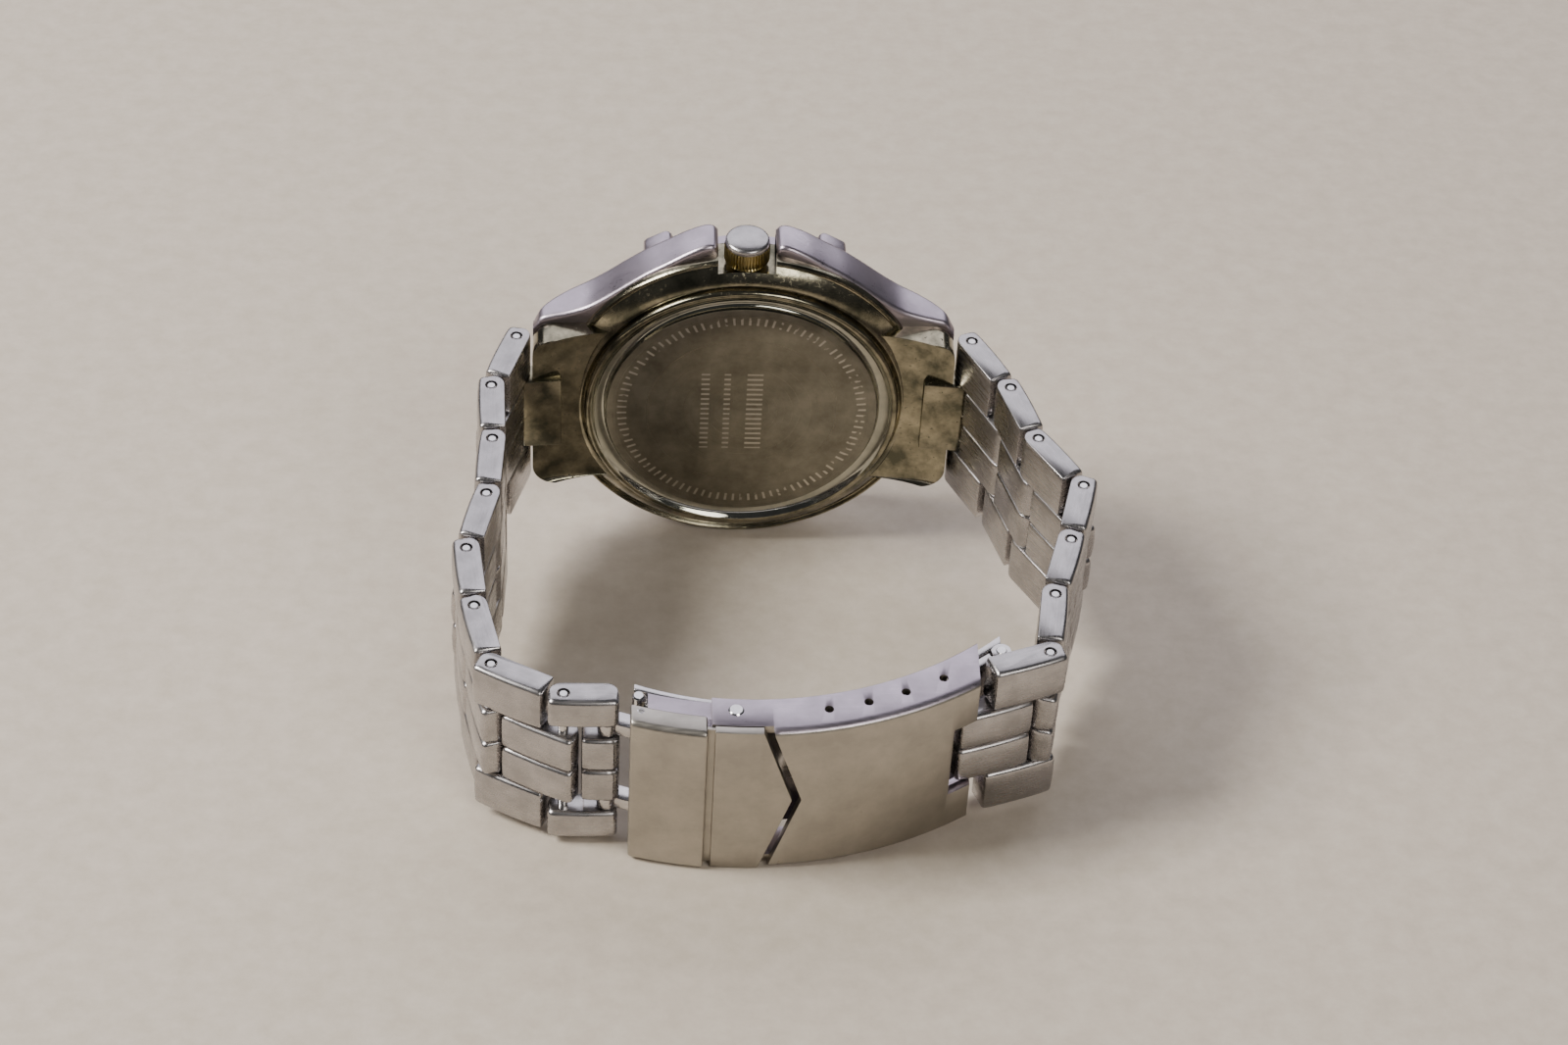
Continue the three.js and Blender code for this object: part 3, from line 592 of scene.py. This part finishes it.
def build_link(word, number, side, start, end, last):
    """Two outer rows that turn on a link's first pin, and two middle rows that reach its last."""
    pitch = (end - start).length
    half = FIRST_HALF_WIDTH - HALF_TAPER * (number - 1)
    outer_from = half * TONGUE_SHARE + ROW_GAP
    outer_stop = pitch - SEAT
    middle_to = (half - HALF_TAPER) * TONGUE_SHARE
    middle_stop = pitch + PIN_END
    if last:
        outer_from = END_ROW_FROM
        outer_stop = pitch + END_ROW_PAST
        middle_to = END_TONGUE_HALF
        middle_stop = pitch + END_TONGUE_PAST
    outer_rows = bmesh.new()
    for low, high in both_sides(outer_from, half):
        add_row(outer_rows, -PIN_END, outer_stop, low, high, True, last)
    middle_rows = bmesh.new()
    for low, high in both_sides(ROW_GROOVE, middle_to):
        add_row(middle_rows, SEAT, middle_stop, low, high, False, True)
    add_web(middle_rows, pitch, half, last)
    thing = as_object(f"{word}_link_{number}_steel", outer_rows, link_place(start, end, side))
    holes = bmesh.new()
    for low, high in both_sides(half - 0.7, half + 1):
        rod(holes, Vector((0, 0, 0)), PIN_RADIUS + 0.14, low, high)
    cut(thing, as_object("holes", holes, thing.matrix_world.copy()))
    add_shells(thing, middle_rows)
    dress(thing, f"{word}_{number}", LINK_STEEL, [f"{word}_link_{number}"], 40)
    node = f"{word}_pin_{number - 1}"
    add_pin(f"{node}_steel", node, f"{word}_{number}", start, half - 0.04)


def build_strand(word, side, count, end):
    """A chain of links from the case to the point where it ends."""
    pins = [joint_at(f"{word}_hinge_{number}") for number in range(1, count + 1)] + [end]
    for pin in pins:
        pin.z = 0
    for number in range(1, count + 1):
        last = word == "left" and number == count
        build_link(word, number, side, pins[number - 1], pins[number], last)


# The clasp.


def under(x, depth):
    """A point under the clasp's outer face."""
    across = x - CLASP_CENTRE.x
    radius = CLASP_RADIUS - depth
    return Vector((x, CLASP_CENTRE.y - math.sqrt(radius * radius - across * across), 0))


def channel(bm, left, right, section, steps=40):
    """A closed [depth, width] section swept along the clasp's curve."""
    rings = []
    for step in range(steps + 1):
        x = left + (right - left) * step / steps
        ring = []
        for depth, level in section:
            point = under(x, depth)
            ring.append((point.x, point.y, level))
        rings.append(ring)
    loft(bm, rings)


def strip(bm, left, right, top, bottom, low, high, steps=24, rise=0.0):
    """A strip between two depths whose right end is raised."""
    rings = []
    for step in range(steps + 1):
        share = step / steps
        x = left + (right - left) * share
        upper, lower = under(x, top - rise * share), under(x, bottom - rise * share)
        corners = ((upper, low), (upper, high), (lower, high), (lower, low))
        rings.append([(point.x, point.y, level) for point, level in corners])
    loft(bm, rings)


LOCK_PIN = joint_at("flip_lock_hinge")
CATCH_PIN = node_at("catch_pin")
FOLD_ONE = joint_at("middle_blade_hinge")
FOLD_TWO = joint_at("inner_blade_hinge")
CLASP_BAR = joint_at("cover_hinge")
WALL_LEFT = CLASP_LEFT + 7.4  # where the lock's band ends and the cover's walls start
ARROW_TIP = 3.6
ARROW_ROOT = 0.3
ARROW_GAP = 0.9
ADJUSTER_XS = (6.8, 10.6, 14.2, 17.9)  # the spring bar's other places
CLEAR_LEFT, CLEAR_RIGHT = -20, 30  # past both ends of the clasp
CLEAR_LOW, CLEAR_HIGH = -60, -40  # under and over the clasp


def arrow_outline(grow):
    """All that lies left of the arrow's V, as (x, z)."""
    half = CLASP_HALF + 1
    return [
        (CLEAR_LEFT, -half),
        (ARROW_ROOT + grow, -half),
        (ARROW_TIP + grow, 0),
        (ARROW_ROOT + grow, half),
        (CLEAR_LEFT, half),
    ]


def shoulder(top, deep, wide):
    """The rounded outer corner of a clasp section, as (depth, level)."""
    points = []
    for step in range(6):
        a = math.pi / 2 * step / 5
        points.append((top + deep * (1 - math.sin(a)), CLASP_HALF - wide * (1 - math.cos(a))))
    return points


def mirrored(section):
    """A section followed by its other half, in reverse."""
    return [*section, *((depth, -level) for depth, level in reversed(section))]


def cover_section():
    """A channel with rounded outer corners and thin walls."""
    h, wall, skin, deep, soft, chamfer = CLASP_HALF, 0.9, 0.95, 4.5, 0.9, 0.12
    outer = mirrored([(deep, h - chamfer), (deep - chamfer, h), *shoulder(0, soft, 0.7 * soft)])
    inner = mirrored([(deep, wall - h - chamfer), (deep - chamfer, wall - h), (skin, wall - h)])
    return [*outer, *inner]


def add_cover_ears(bm):
    """Walls that run inside the lock's flanges, with the eyes of its pin."""
    for low, high in both_sides(CLASP_HALF - 1.6, CLASP_HALF - 0.75):
        strip(bm, LOCK_PIN.x, WALL_LEFT + 2, 0.95, 2.3, low, high)
        strip(bm, CATCH_PIN.x + 0.9, WALL_LEFT + 2, 0.95, 4.4, low, high)
        rod(bm, LOCK_PIN, 1, low, high)


def arrow_recess():
    """The part of the cover's skin that makes room for the lock's arrow."""
    bm = bmesh.new()
    prism(bm, arrow_outline(ARROW_GAP), CLEAR_LOW, CLEAR_HIGH, "y")
    recess = as_object("arrow_recess", bm)
    bm = bmesh.new()
    strip(bm, -14, ARROW_TIP + 3, -2, 0.96, -CLASP_HALF - 3, CLASP_HALF + 3)
    cut(recess, as_object("skin", bm), "INTERSECT")
    return recess


def cover_openings():
    """The seat of the last right link, and the spring bar's other holes."""
    bm = bmesh.new()
    seat = CLASP_BAR.x - PIN_END - 0.35
    reach = (FIRST_HALF_WIDTH - 7 * HALF_TAPER) * TONGUE_SHARE + ROW_GAP
    outline = [(seat, CLEAR_LOW), (CLEAR_RIGHT, CLEAR_LOW), (CLEAR_RIGHT, CLEAR_HIGH), (seat, CLEAR_HIGH)]
    prism(bm, outline, -reach, reach)
    for x in ADJUSTER_XS:
        rod(bm, under(x, 2.5), 0.45, -CLASP_HALF - 1, CLASP_HALF + 1)
    return as_object("cover_openings", bm)


def build_cover():
    bm = bmesh.new()
    channel(bm, WALL_LEFT + 0.3, COVER_RIGHT, cover_section())
    thing = as_object("clasp_cover_steel", bm)
    cut(thing, arrow_recess())
    cut(thing, cover_openings())
    bevel(thing, 0.1, 2)
    ears = bmesh.new()
    add_cover_ears(ears)
    add_shells(thing, ears)
    dress(thing, "cover", SATIN, ["clasp_cover"])
    # The cover's side walls, which face up, take the lavender tint: painted reflection of the overhead
    # light.
    paint_faces(thing, FLANK_LAVENDER_SHEEN, lambda face: abs(face.normal.z) > 0.8)
    add_pin("spring_bar_steel", "clasp_spring_bar", "cover", CLASP_BAR, CLASP_HALF - 1)
    add_pin("lock_pin_steel", "flip_lock_pin", "cover", LOCK_PIN, CLASP_HALF)
    add_pin("fold_rivet_steel", "fold_pin_1", "cover", FOLD_ONE, CLASP_HALF + 0.12, 0.85)


def lock_section():
    """A wide flat channel with rounded outer corners."""
    h, skin, deep, wall = CLASP_HALF, 0.3, 2.1, 0.65
    outer = mirrored([(deep, h), *shoulder(-0.5, 0.7, 0.7)])
    inner = mirrored([(deep, wall - h), (skin, wall - h)])
    return [*outer, *inner]


def build_lock():
    """The lock's band with a bridge, and the arrow-ended tongue as a piece of its own."""
    h, right = CLASP_HALF, WALL_LEFT - 0.1
    bm = bmesh.new()
    channel(bm, CLASP_LEFT, right, lock_section(), 12)
    thing = as_object("flip_lock_steel", bm)
    bevel(thing, 0.28, 4)
    bm = bmesh.new()
    strip(bm, right + 0.7, ARROW_TIP + 1, -0.02, 0.85, -h, h)
    tongue = as_object("lock_arrow_steel", bm)
    bm = bmesh.new()
    prism(bm, arrow_outline(0), CLEAR_LOW, CLEAR_HIGH, "y")
    cut(tongue, as_object("arrow", bm), "INTERSECT")
    bevel(tongue, 0.16, 3)
    dress(tongue, "lock", SATIN)
    bridge = bmesh.new()
    strip(bridge, right - 0.8, right + 1.3, 0.5, 0.83, -h + 0.2, h - 0.2, 4)
    add_shells(thing, bridge)
    dress(thing, "lock", SATIN, ["flip_lock"])


BLADE_HALF = 7.5
KNUCKLE = 1  # radius of the blades' eyes
EYE_HALF = 4


def build_middle_blade():
    bm = bmesh.new()
    strip(bm, -2.2, FOLD_TWO.x - 0.4, 4.4, 5.2, -BLADE_HALF, BLADE_HALF, 30, 1.1)
    eyes = bmesh.new()
    strip(eyes, -2.8, -0.8, 3.2, 4.9, -BLADE_HALF, BLADE_HALF, 3)
    rod(eyes, FOLD_ONE, KNUCKLE + 0.1, -BLADE_HALF, BLADE_HALF)
    rod(eyes, FOLD_TWO, KNUCKLE, -EYE_HALF, EYE_HALF)
    thing = as_object("middle_blade_steel", bm)
    cuts = bmesh.new()
    for low, high in both_sides(EYE_HALF, BLADE_HALF + 1):
        rod(cuts, FOLD_TWO, KNUCKLE + 0.3, low, high)
    cut(thing, as_object("eye_cuts", cuts))
    bevel(thing, 0.12, 2)
    add_shells(thing, eyes)
    dress(thing, "middle", BLADE, ["middle_blade"])
    add_pin("fold_pin_steel", "fold_pin_2", "middle", FOLD_TWO, BLADE_HALF + 0.1, 0.62)


def build_inner_blade():
    bm = bmesh.new()
    left = CLASP_LEFT + 0.4
    end_pin = node_at("left_end_pin")
    strip(bm, left, FOLD_TWO.x, 5.75, 6.5, -BLADE_HALF, BLADE_HALF, 34, 1.4)
    for knuckle, ear in zip(both_sides(EYE_HALF + 0.15, BLADE_HALF), both_sides(*END_EARS)):
        rod(bm, FOLD_TWO, KNUCKLE, *knuckle)
        strip(bm, end_pin.x, left + 4.6, 2.2, 4, *ear, 6)
        strip(bm, left, left + 4.6, 2.2, 6, *ear, 6)
        rod(bm, end_pin, 1, *ear)
    thing = as_object("inner_blade_steel", bm)
    bevel(thing, 0.12, 2)
    dress(thing, "inner", BLADE, ["inner_blade"])
    add_pin("catch_pin_steel", "catch_pin", "inner", CATCH_PIN, CLASP_HALF - 0.02, 0.62)
    add_pin("end_pin_steel", "left_end_pin", "left_8", end_pin, 4.25)


# The case.


def quadratic(a, b, c, steps=8):
    """Points of a Bezier curve with three control points."""
    points = []
    for step in range(steps + 1):
        t = step / steps
        x = (1 - t) ** 2 * a[0] + 2 * t * (1 - t) * b[0] + t * t * c[0]
        y = (1 - t) ** 2 * a[1] + 2 * t * (1 - t) * b[1] + t * t * c[1]
        points.append((x, y))
    return points


def lug_outline():
    """The lugs' side view as (x, y): they curve down toward the wrist."""
    end = LUG_SPAN / 2
    right = quadratic((13, CASE_LOW), (18, CASE_LOW), (end, -0.6))
    right += [(end, 1.0), (end, 2.3)]
    right += quadratic((end, 3.4), (end - 1.5, 5.6), (CHAMBER_RADIUS, CASE_TOP))
    left = [(-x, y) for x, y in reversed(right)]
    return right + left


def lug_top(x):
    """The level of the lugs' upper face at one place along the watch."""
    end = LUG_SPAN / 2
    share = max(0, (min(abs(x), end) - CHAMBER_RADIUS) / (end - CHAMBER_RADIUS))
    return CASE_TOP - 3.4 * share**2.2


def add_lugs(bm):
    """A block from lug to lug, with round corners seen from the dial."""
    half = LUG_WIDTH / 2
    rings = []
    for step in range(-24, 25):
        z = half * math.sin(math.pi / 2 * step / 24)
        past = max(0, abs(z) - (half - LUG_CORNER))
        reach = LUG_SPAN / 2 - LUG_CORNER + math.sqrt(max(0, LUG_CORNER**2 - past**2))
        share = reach / (LUG_SPAN / 2)
        rings.append([(x * share, y, z) for x, y in lug_outline()])
    loft(bm, rings)


# The flank's outline seen from the dial, as (x, z) from the crown to the lug's end.
GUARD_EDGE = [(3.0, 19.6), (3.5, 20.1), (4.4, 20.1), (6.2, 19.3), (8.3, 18.0), (10.4, 16.7), (12.4, 15.2)]
GUARD_EDGE += [(14.4, 13.6), (16.4, 12.2), (18.4, 11.4), (20.2, 10.9), (21.2, 10.5), (21.98, 9.4)]


def guard_reach(x):
    """How far the flank reaches at one place along the watch, as a smooth curve."""
    last = len(GUARD_EDGE) - 1
    for index in range(last):
        (x0, z0), (x1, z1) = GUARD_EDGE[index], GUARD_EDGE[index + 1]
        if x > x1 and index < last - 1:
            continue
        before = GUARD_EDGE[max(index - 1, 0)]
        after = GUARD_EDGE[min(index + 2, last)]
        slope_0 = (z1 - before[1]) / (x1 - before[0])
        slope_1 = (after[1] - z0) / (after[0] - x0)
        span = x1 - x0
        t = min(max((x - x0) / span, 0), 1)
        rise = (1 - t) ** 2 * (1 + 2 * t) * z0 + t * t * (3 - 2 * t) * z1
        return rise + span * (t * (1 - t) ** 2 * slope_0 - t * t * (1 - t) * slope_1)
    return GUARD_EDGE[-1][1]


def add_guard(bm, side):
    """One crown guard: rounded sections from the crown to the lug."""
    rings = []
    steps = 48
    left, right = CROWN_GAP / 2, GUARD_EDGE[-1][0]
    for step in range(steps + 1):
        share = step / steps
        x = left + (right - left) * (0.5 - 0.5 * math.cos(math.pi * share))
        reach = guard_reach(x)
        ease = math.sin(math.pi * share)
        low = GUARD_LOW + 0.35 - 0.75 * ease - 0.9 * share**3
        high = lug_top(x) - 0.1
        soft = min(0.55, (high - low) * 0.4)
        inner = max(7, math.sqrt(max(0, 15.6**2 - x * x)))
        section = []
        for corner_y, corner_z, first in (
            (low + soft, reach - soft, -90),
            (high - soft, reach - soft, 0),
        ):
            for turn in range(5):
                a = math.radians(first + 90 * turn / 4)
                section.append((corner_y + soft * math.sin(a), corner_z + soft * math.cos(a)))
        section += [(high, inner), (low, inner)]
        rings.append([(side * x, y, z) for y, z in section])
    loft(bm, rings)


def add_lug_tongues(bm):
    """The bars between the lugs that the first links turn on."""
    end = LUG_SPAN / 2
    reach = FIRST_HALF_WIDTH * TONGUE_SHARE
    for side in (-1, 1):
        pin = joint_at("right_hinge_1" if side > 0 else "left_hinge_1")
        outline = [(side * (end - 3), pin.y - LINK_HALF + 0.4)]
        for step in range(9):
            a = -math.pi / 2 + math.pi * step / 8
            reach_x = LINK_HALF * math.cos(a) * side
            outline.append((pin.x + reach_x, pin.y + LINK_HALF * math.sin(a)))
        outline.append((side * (end - 3), pin.y + LINK_HALF))
        prism(bm, outline, -reach, reach)


def takes_lavender_sheen(face):
    """Whether a face of the lugs gets the lavender-tinted satin steel, a painted reflection of the overhead
    light: its upper sides and its dial side.
    """
    is_upper_side = abs(face.normal.z) > 0.75 and face.center.y > 3.2 * MM
    return is_upper_side or face.normal.y > 0.3


def build_lug_block():
    bm = bmesh.new()
    add_lugs(bm)
    lugs = as_object("lugs_steel", bm)
    bm = bmesh.new()
    lathe(bm, [(0, -3), (CHAMBER_RADIUS, -3), (CHAMBER_RADIUS, 12), (0, 12)], 96)
    cut(lugs, as_object("chamber", bm))
    dress(lugs, "case", PLATING, (), 30)
    paint_faces(lugs, FLANK_LAVENDER_SHEEN, takes_lavender_sheen)


def build_case_ring():
    """The mid case: its stepped back edge, its wall, and the seat of the crown."""
    bm = bmesh.new()
    lathe(
        bm,
        [
            (13.5, CASE_LOW + 0.8),
            (15.2, CASE_LOW + 0.8),
            (BACK_RIM_RADIUS + 0.12, CASE_LOW - 0.25),
            (16.95, CASE_LOW - 0.35),
            (17.15, CASE_LOW - 0.3),
            (17.7, CASE_LOW + 0.05),
            (18.3, CASE_LOW + 0.5),
            (18.75, CASE_LOW + 0.95),
            (18.85, CASE_LOW + 0.95),
            (19.05, CASE_LOW + 0.7),
            (19.25, CASE_LOW + 0.75),
            (19.38, CASE_LOW + 0.95),
            (CASE_RADIUS, CASE_LOW + 1.1),
            (CASE_RADIUS, CASE_TOP - 0.8),
            (CASE_RADIUS - 0.25, CASE_TOP - 0.25),
            (CASE_RADIUS - 0.9, CASE_TOP),
            (15.1, CASE_TOP),
        ],
        closed=True,
    )
    ring = as_object("mid_case_steel", bm)
    half = CROWN_GAP / 2
    bm = bmesh.new()
    prism(bm, [(-half, CASE_LOW + 0.4), (half, CASE_LOW + 0.4), (half, 9), (-half, 9)], 17.2, 25)
    cut(ring, as_object("crown_seat", bm))
    bm = bmesh.new()
    rod(bm, Vector((0, CROWN_LEVEL, 0)), 1.35, 10, 25, 32)
    cut(ring, as_object("stem_hole", bm))
    dress(ring, "case", PLATING, ["mid_case"], 30)


def build_case():
    build_case_ring()
    build_lug_block()
    for side, name in ((-1, "guard_six_steel"), (1, "guard_twelve_steel")):
        bm = bmesh.new()
        add_guard(bm, side)
        # The guards take the lavender tint, a painted reflection of the overhead light.
        dress(as_object(name, bm), "case", FLANK_LAVENDER_SHEEN, (), 40)
    bm = bmesh.new()
    add_lug_tongues(bm)
    tongues = as_object("lug_tongues_steel", bm)
    bevel(tongues, 0.15, 2)
    dress(tongues, "case", PLATING)


def build_back():
    """The case back: a flat disc, a dished mirror-bright ring and a rim."""
    bm = bmesh.new()
    flat = BACK_DISC_RADIUS
    rim = BACK_RIM_RADIUS
    lathe(
        bm,
        [
            (0, 0.0),
            (6, 0.0),
            (10, 0.0),
            (flat - 0.3, 0.0),
            (flat - 0.22, 0.05),
            (flat - 0.18, 0.3),
            (flat - 0.05, 0.55),
            (flat + 0.25, 0.68),
            (flat + 0.65, 0.66),
            (flat + 1.0, 0.5),
            (flat + 1.25, 0.25),
            (flat + 1.4, 0.03),
            (flat + 1.52, -0.04),
            (flat + 1.7, -0.04),
            (rim - 0.2, 0.06),
            (rim - 0.05, 0.22),
            (rim, 0.4),
            (rim, CASE_LOW - 0.1),
            (14.8, CASE_LOW - 0.1),
            (14.8, CASE_LOW + 1),
            (13.8, CASE_LOW + 1),
            (13.8, CASE_LOW),
            (0, CASE_LOW),
        ],
    )
    thing = as_object("case_back_steel", bm)
    dress(thing, "case", DISC, ["case_back"], 40)
    for material, start in ((MIRROR, flat - 0.26), (PLATING, flat + 1.45)):
        paint_faces(thing, material, lambda face: math.hypot(face.center.x, face.center.z) / MM > start)


def build_crown():
    """A knurled grip under a smooth cap."""
    bm = bmesh.new()
    rings = []
    for level, reach, depth in (
        (17.8, 2.1, 0.0),
        (17.95, 2.3, 0.05),
        (18.1, 2.36, 0.26),
        (19.75, 2.36, 0.26),
        (19.9, 2.3, 0.05),
    ):
        ring = []
        for index, (c, s) in enumerate(circle(CROWN_TEETH * 4)):
            radius = reach - depth if index % 4 > 1 else reach
            ring.append((radius * c, CROWN_LEVEL + radius * s, level))
        rings.append(ring)
    loft(bm, rings)
    dress(as_object("crown_grip", bm), "crown", BRASS, ["crown"], 25)
    bm = bmesh.new()
    rings = []
    for level, reach in ((19.9, 2.22), (20.0, 2.3), (20.35, 2.28), (20.5, 2.18), (20.62, 1.95), (20.7, 1.2)):
        rings.append([(reach * c, CROWN_LEVEL + reach * s, level) for c, s in circle(64)])
    loft(bm, rings)
    dress(as_object("crown_cap", bm), "crown", LINK_STEEL, (), 40)


def tab_outline(half_x, half_z, radius):
    """A flat rectangle with round corners, as (x, z) from its middle."""
    points = []
    corners = ((half_x, half_z), (-half_x, half_z), (-half_x, -half_z), (half_x, -half_z))
    for quarter, (x, z) in enumerate(corners):
        for turn in range(4):
            a = math.radians(90 * quarter + 30 * turn)
            points.append((x + radius * math.cos(a), z + radius * math.sin(a)))
    return points


def build_bezel():
    """A turning ring with six tabs to grip it by."""
    low = CASE_TOP + 0.15
    high = low + 2
    bm = bmesh.new()
    inner = CRYSTAL_RADIUS + 0.35
    lathe(
        bm,
        [
            (inner, low),
            (BEZEL_RADIUS - 0.15, low),
            (BEZEL_RADIUS, low + 0.15),
            (BEZEL_RADIUS, high - 0.7),
            (BEZEL_RADIUS - 0.2, high - 0.45),
            (BEZEL_RADIUS - 0.9, high - 0.05),
            (BEZEL_RADIUS - 1.2, high),
            (inner + 0.2, high),
            (inner, high - 0.2),
        ],
        closed=True,
    )
    body = as_object("bezel_steel", bm)
    outline = [(x, z + BEZEL_RADIUS - 0.3) for x, z in tab_outline(1.0, 1.3, 0.6)]
    for number in range(6):
        bm = bmesh.new()
        prism(bm, turned(outline, -30 - 60 * number), low + 0.1, high + 0.3, "y")
        tab = as_object(f"bezel_tab_{number + 1}", bm)
        bevel(tab, 0.25, 3)
        dress(tab, "bezel", FLANK_LAVENDER_SHEEN)
    # The ring, like its tabs, takes the lavender tint, a painted reflection of the overhead light.
    dress(body, "bezel", FLANK_LAVENDER_SHEEN, ["bezel"], 35)


def build_crystal():
    low = CASE_TOP + 0.5
    bm = bmesh.new()
    radius = CRYSTAL_RADIUS
    lathe(
        bm,
        [
            (0, low),
            (radius, low),
            (radius, low + 1.65),
            (radius - 0.15, low + 1.95),
            (radius - 0.45, low + 2.08),
            (radius * 0.5, low + 2.1),
            (0, low + 2.1),
        ],
    )
    dress(as_object("crystal_dome", bm), "case", GLASS, ["crystal"])


def build_markers():
    """Applied batons at the hours, doubled at twelve, each with a line of lume."""
    bm = bmesh.new()
    glow = bmesh.new()
    for hour in range(12):
        offsets = (-0.55, 0.55) if hour == 0 else (0,)
        length = 2.9 if hour % 3 == 0 else 2.2
        for offset in offsets:
            for shape, half, start, stop, low, high in (
                (bm, 0.42, 11.6 - length, 11.6, 6.1, 6.38),
                (glow, 0.24, 11.8 - length, 11.4, 6.34, 6.44),
            ):
                near, far = offset - half, offset + half
                corners = [(start, near), (stop, near), (stop, far), (start, far)]
                prism(shape, turned(corners, 30 * hour), low, high, "y")
    batons = as_object("hour_batons", bm)
    bevel(batons, 0.07, 2)
    dress(batons, "case", POLISHED)
    dress(as_object("hour_lume", glow), "case", LUME)


def build_hand(body, degrees, length, width, boss, level, thick, with_lume=True):
    """A tapered hand on a round boss, at an angle from twelve o'clock."""
    node = f"{body}_hand"
    half = width / 2
    wide = length * 0.7  # where the blade is widest
    top = level + thick
    blade = [(-length * 0.2, -half * 0.6), (wide, -half), (length, -0.05)]
    blade += [(x, -z) for x, z in reversed(blade)]
    bm = bmesh.new()
    prism(bm, turned(blade, degrees), level, top, "y")
    thing = as_object(f"{node}_steel", bm)
    bm = bmesh.new()
    profile = [(0, level - 0.02), (boss, level - 0.02), (boss, top)]
    profile += [(boss * 0.8, top + 0.06), (0, top + 0.08)]
    lathe(bm, profile, 40)
    cut(thing, as_object("boss", bm), "UNION")
    bevel(thing, 0.04, 2)
    dress(thing, body, POLISHED, [node])
    if with_lume:
        bm = bmesh.new()
        narrow = half * 0.5
        lume = [(length * 0.35, -narrow * 0.9), (wide, -narrow), (length * 0.86, 0)]
        lume += [(wide, narrow), (length * 0.35, narrow * 0.9)]
        prism(bm, turned(lume, degrees), top - 0.02, top + 0.04, "y")
        dress(as_object(f"{node}_steel_lume", bm), body, LUME)


def paint_inner_nodes():
    """The nodes that keep their CAD shape get finished materials."""
    finishes = {
        "case_back_gasket": RUBBER,
        "crown_gasket": RUBBER,
        "chapter_ring": RING_PAINT,
        "dial": DIAL,
        "movement_plate": BRASS,
        "movement_holder": HOLDER,
        "circuit_board": BOARD,
        "battery": POLISHED,
        "coil": COPPER,
        "crown_tube": POLISHED,
        "bezel_click_spring": POLISHED,
        "winding_stem": POLISHED,
    }
    for node, material in finishes.items():
        mesh = frame["nodes"][node].data
        mesh.materials.clear()
        mesh.materials.append(material)


# The scene.


def build_floor():
    bm = bmesh.new()
    reach = 900
    points = [(-reach, -reach, 0), (reach, -reach, 0), (reach, reach, 0), (-reach, reach, 0)]
    bm.faces.new([bm.verts.new(point) for point in points])
    floor = as_object("floor", bm, Matrix.Identity(4))
    floor.data.materials.append(floor_paper())


def add_light(name, place, target, size, power, colour):
    """A soft rectangular lamp that faces a point."""
    data = bpy.data.lights.new(name, "AREA")
    data.shape = "RECTANGLE"
    data.size, data.size_y = size
    data.energy = power
    data.color = colour
    lamp = bpy.data.objects.new(name, data)
    bpy.context.scene.collection.objects.link(lamp)
    lamp.location = place
    aim = Vector(target) - Vector(place)
    lamp.rotation_euler = aim.to_track_quat("-Z", "Y").to_euler()


def build_lights():
    middle = (0, 0, 0.02)
    add_light("back_panel", (0, 0.55, 0.55), middle, (1.2, 0.7), 4.6, (0.93, 0.91, 1.0))
    add_light("left_key", (-0.6, -0.1, 0.6), middle, (0.3, 0.3), 8.5, (1.0, 0.97, 0.93))
    add_light("front_fill", (0.35, -0.7, 0.6), middle, (0.4, 0.3), 3, (1.0, 0.96, 0.9))
    world = bpy.data.worlds.new("studio")
    world.use_nodes = True
    sky = world.node_tree.nodes["Background"]
    sky.inputs["Color"].default_value = (0.85, 0.87, 0.92, 1)
    sky.inputs["Strength"].default_value = 0.07
    bpy.context.scene.world = world


CAMERA_PLACE = Vector((-19.6, -321.0, 243.2))
CAMERA_TURN = (3.63, 34.78, 2.61)  # degrees to the right, down, and of tilt
CAMERA_LENS = 89.156


def build_camera():
    """Looks down at the case back from just left of the middle."""
    place = CAMERA_PLACE * MM
    yaw, pitch, roll = (math.radians(angle) for angle in CAMERA_TURN)
    ahead = Vector((math.sin(yaw) * math.cos(pitch), math.cos(yaw) * math.cos(pitch), -math.sin(pitch)))
    level = ahead.cross(Vector((0, 0, 1))).normalized()
    upright = level.cross(ahead)
    right = level * math.cos(roll) + upright * math.sin(roll)
    top = upright * math.cos(roll) - level * math.sin(roll)
    data = bpy.data.cameras.new("camera")
    data.sensor_width = 36
    data.lens = CAMERA_LENS
    data.clip_start = 0.01
    camera = bpy.data.objects.new("camera", data)
    bpy.context.scene.collection.objects.link(camera)
    camera.matrix_world = Matrix.Translation(place) @ Matrix((right, top, -ahead)).transposed().to_4x4()
    bpy.context.scene.camera = camera


build_case()
build_back()
build_crown()
build_bezel()
build_crystal()
build_markers()
build_hand("hour", -55, 8, 1.5, 1.1, 6.3, 0.2)
build_hand("minute", 60, 11.6, 1.1, 0.9, 6.65, 0.2)
build_hand("second", 210, 12, 0.4, 0.7, 7, 0.15, False)
build_strand("left", -1, 8, node_at("left_end_pin"))
build_strand("right", 1, 7, CLASP_BAR)
build_cover()
build_lock()
build_middle_blade()
build_inner_blade()
paint_inner_nodes()
build_floor()
build_lights()
build_camera()
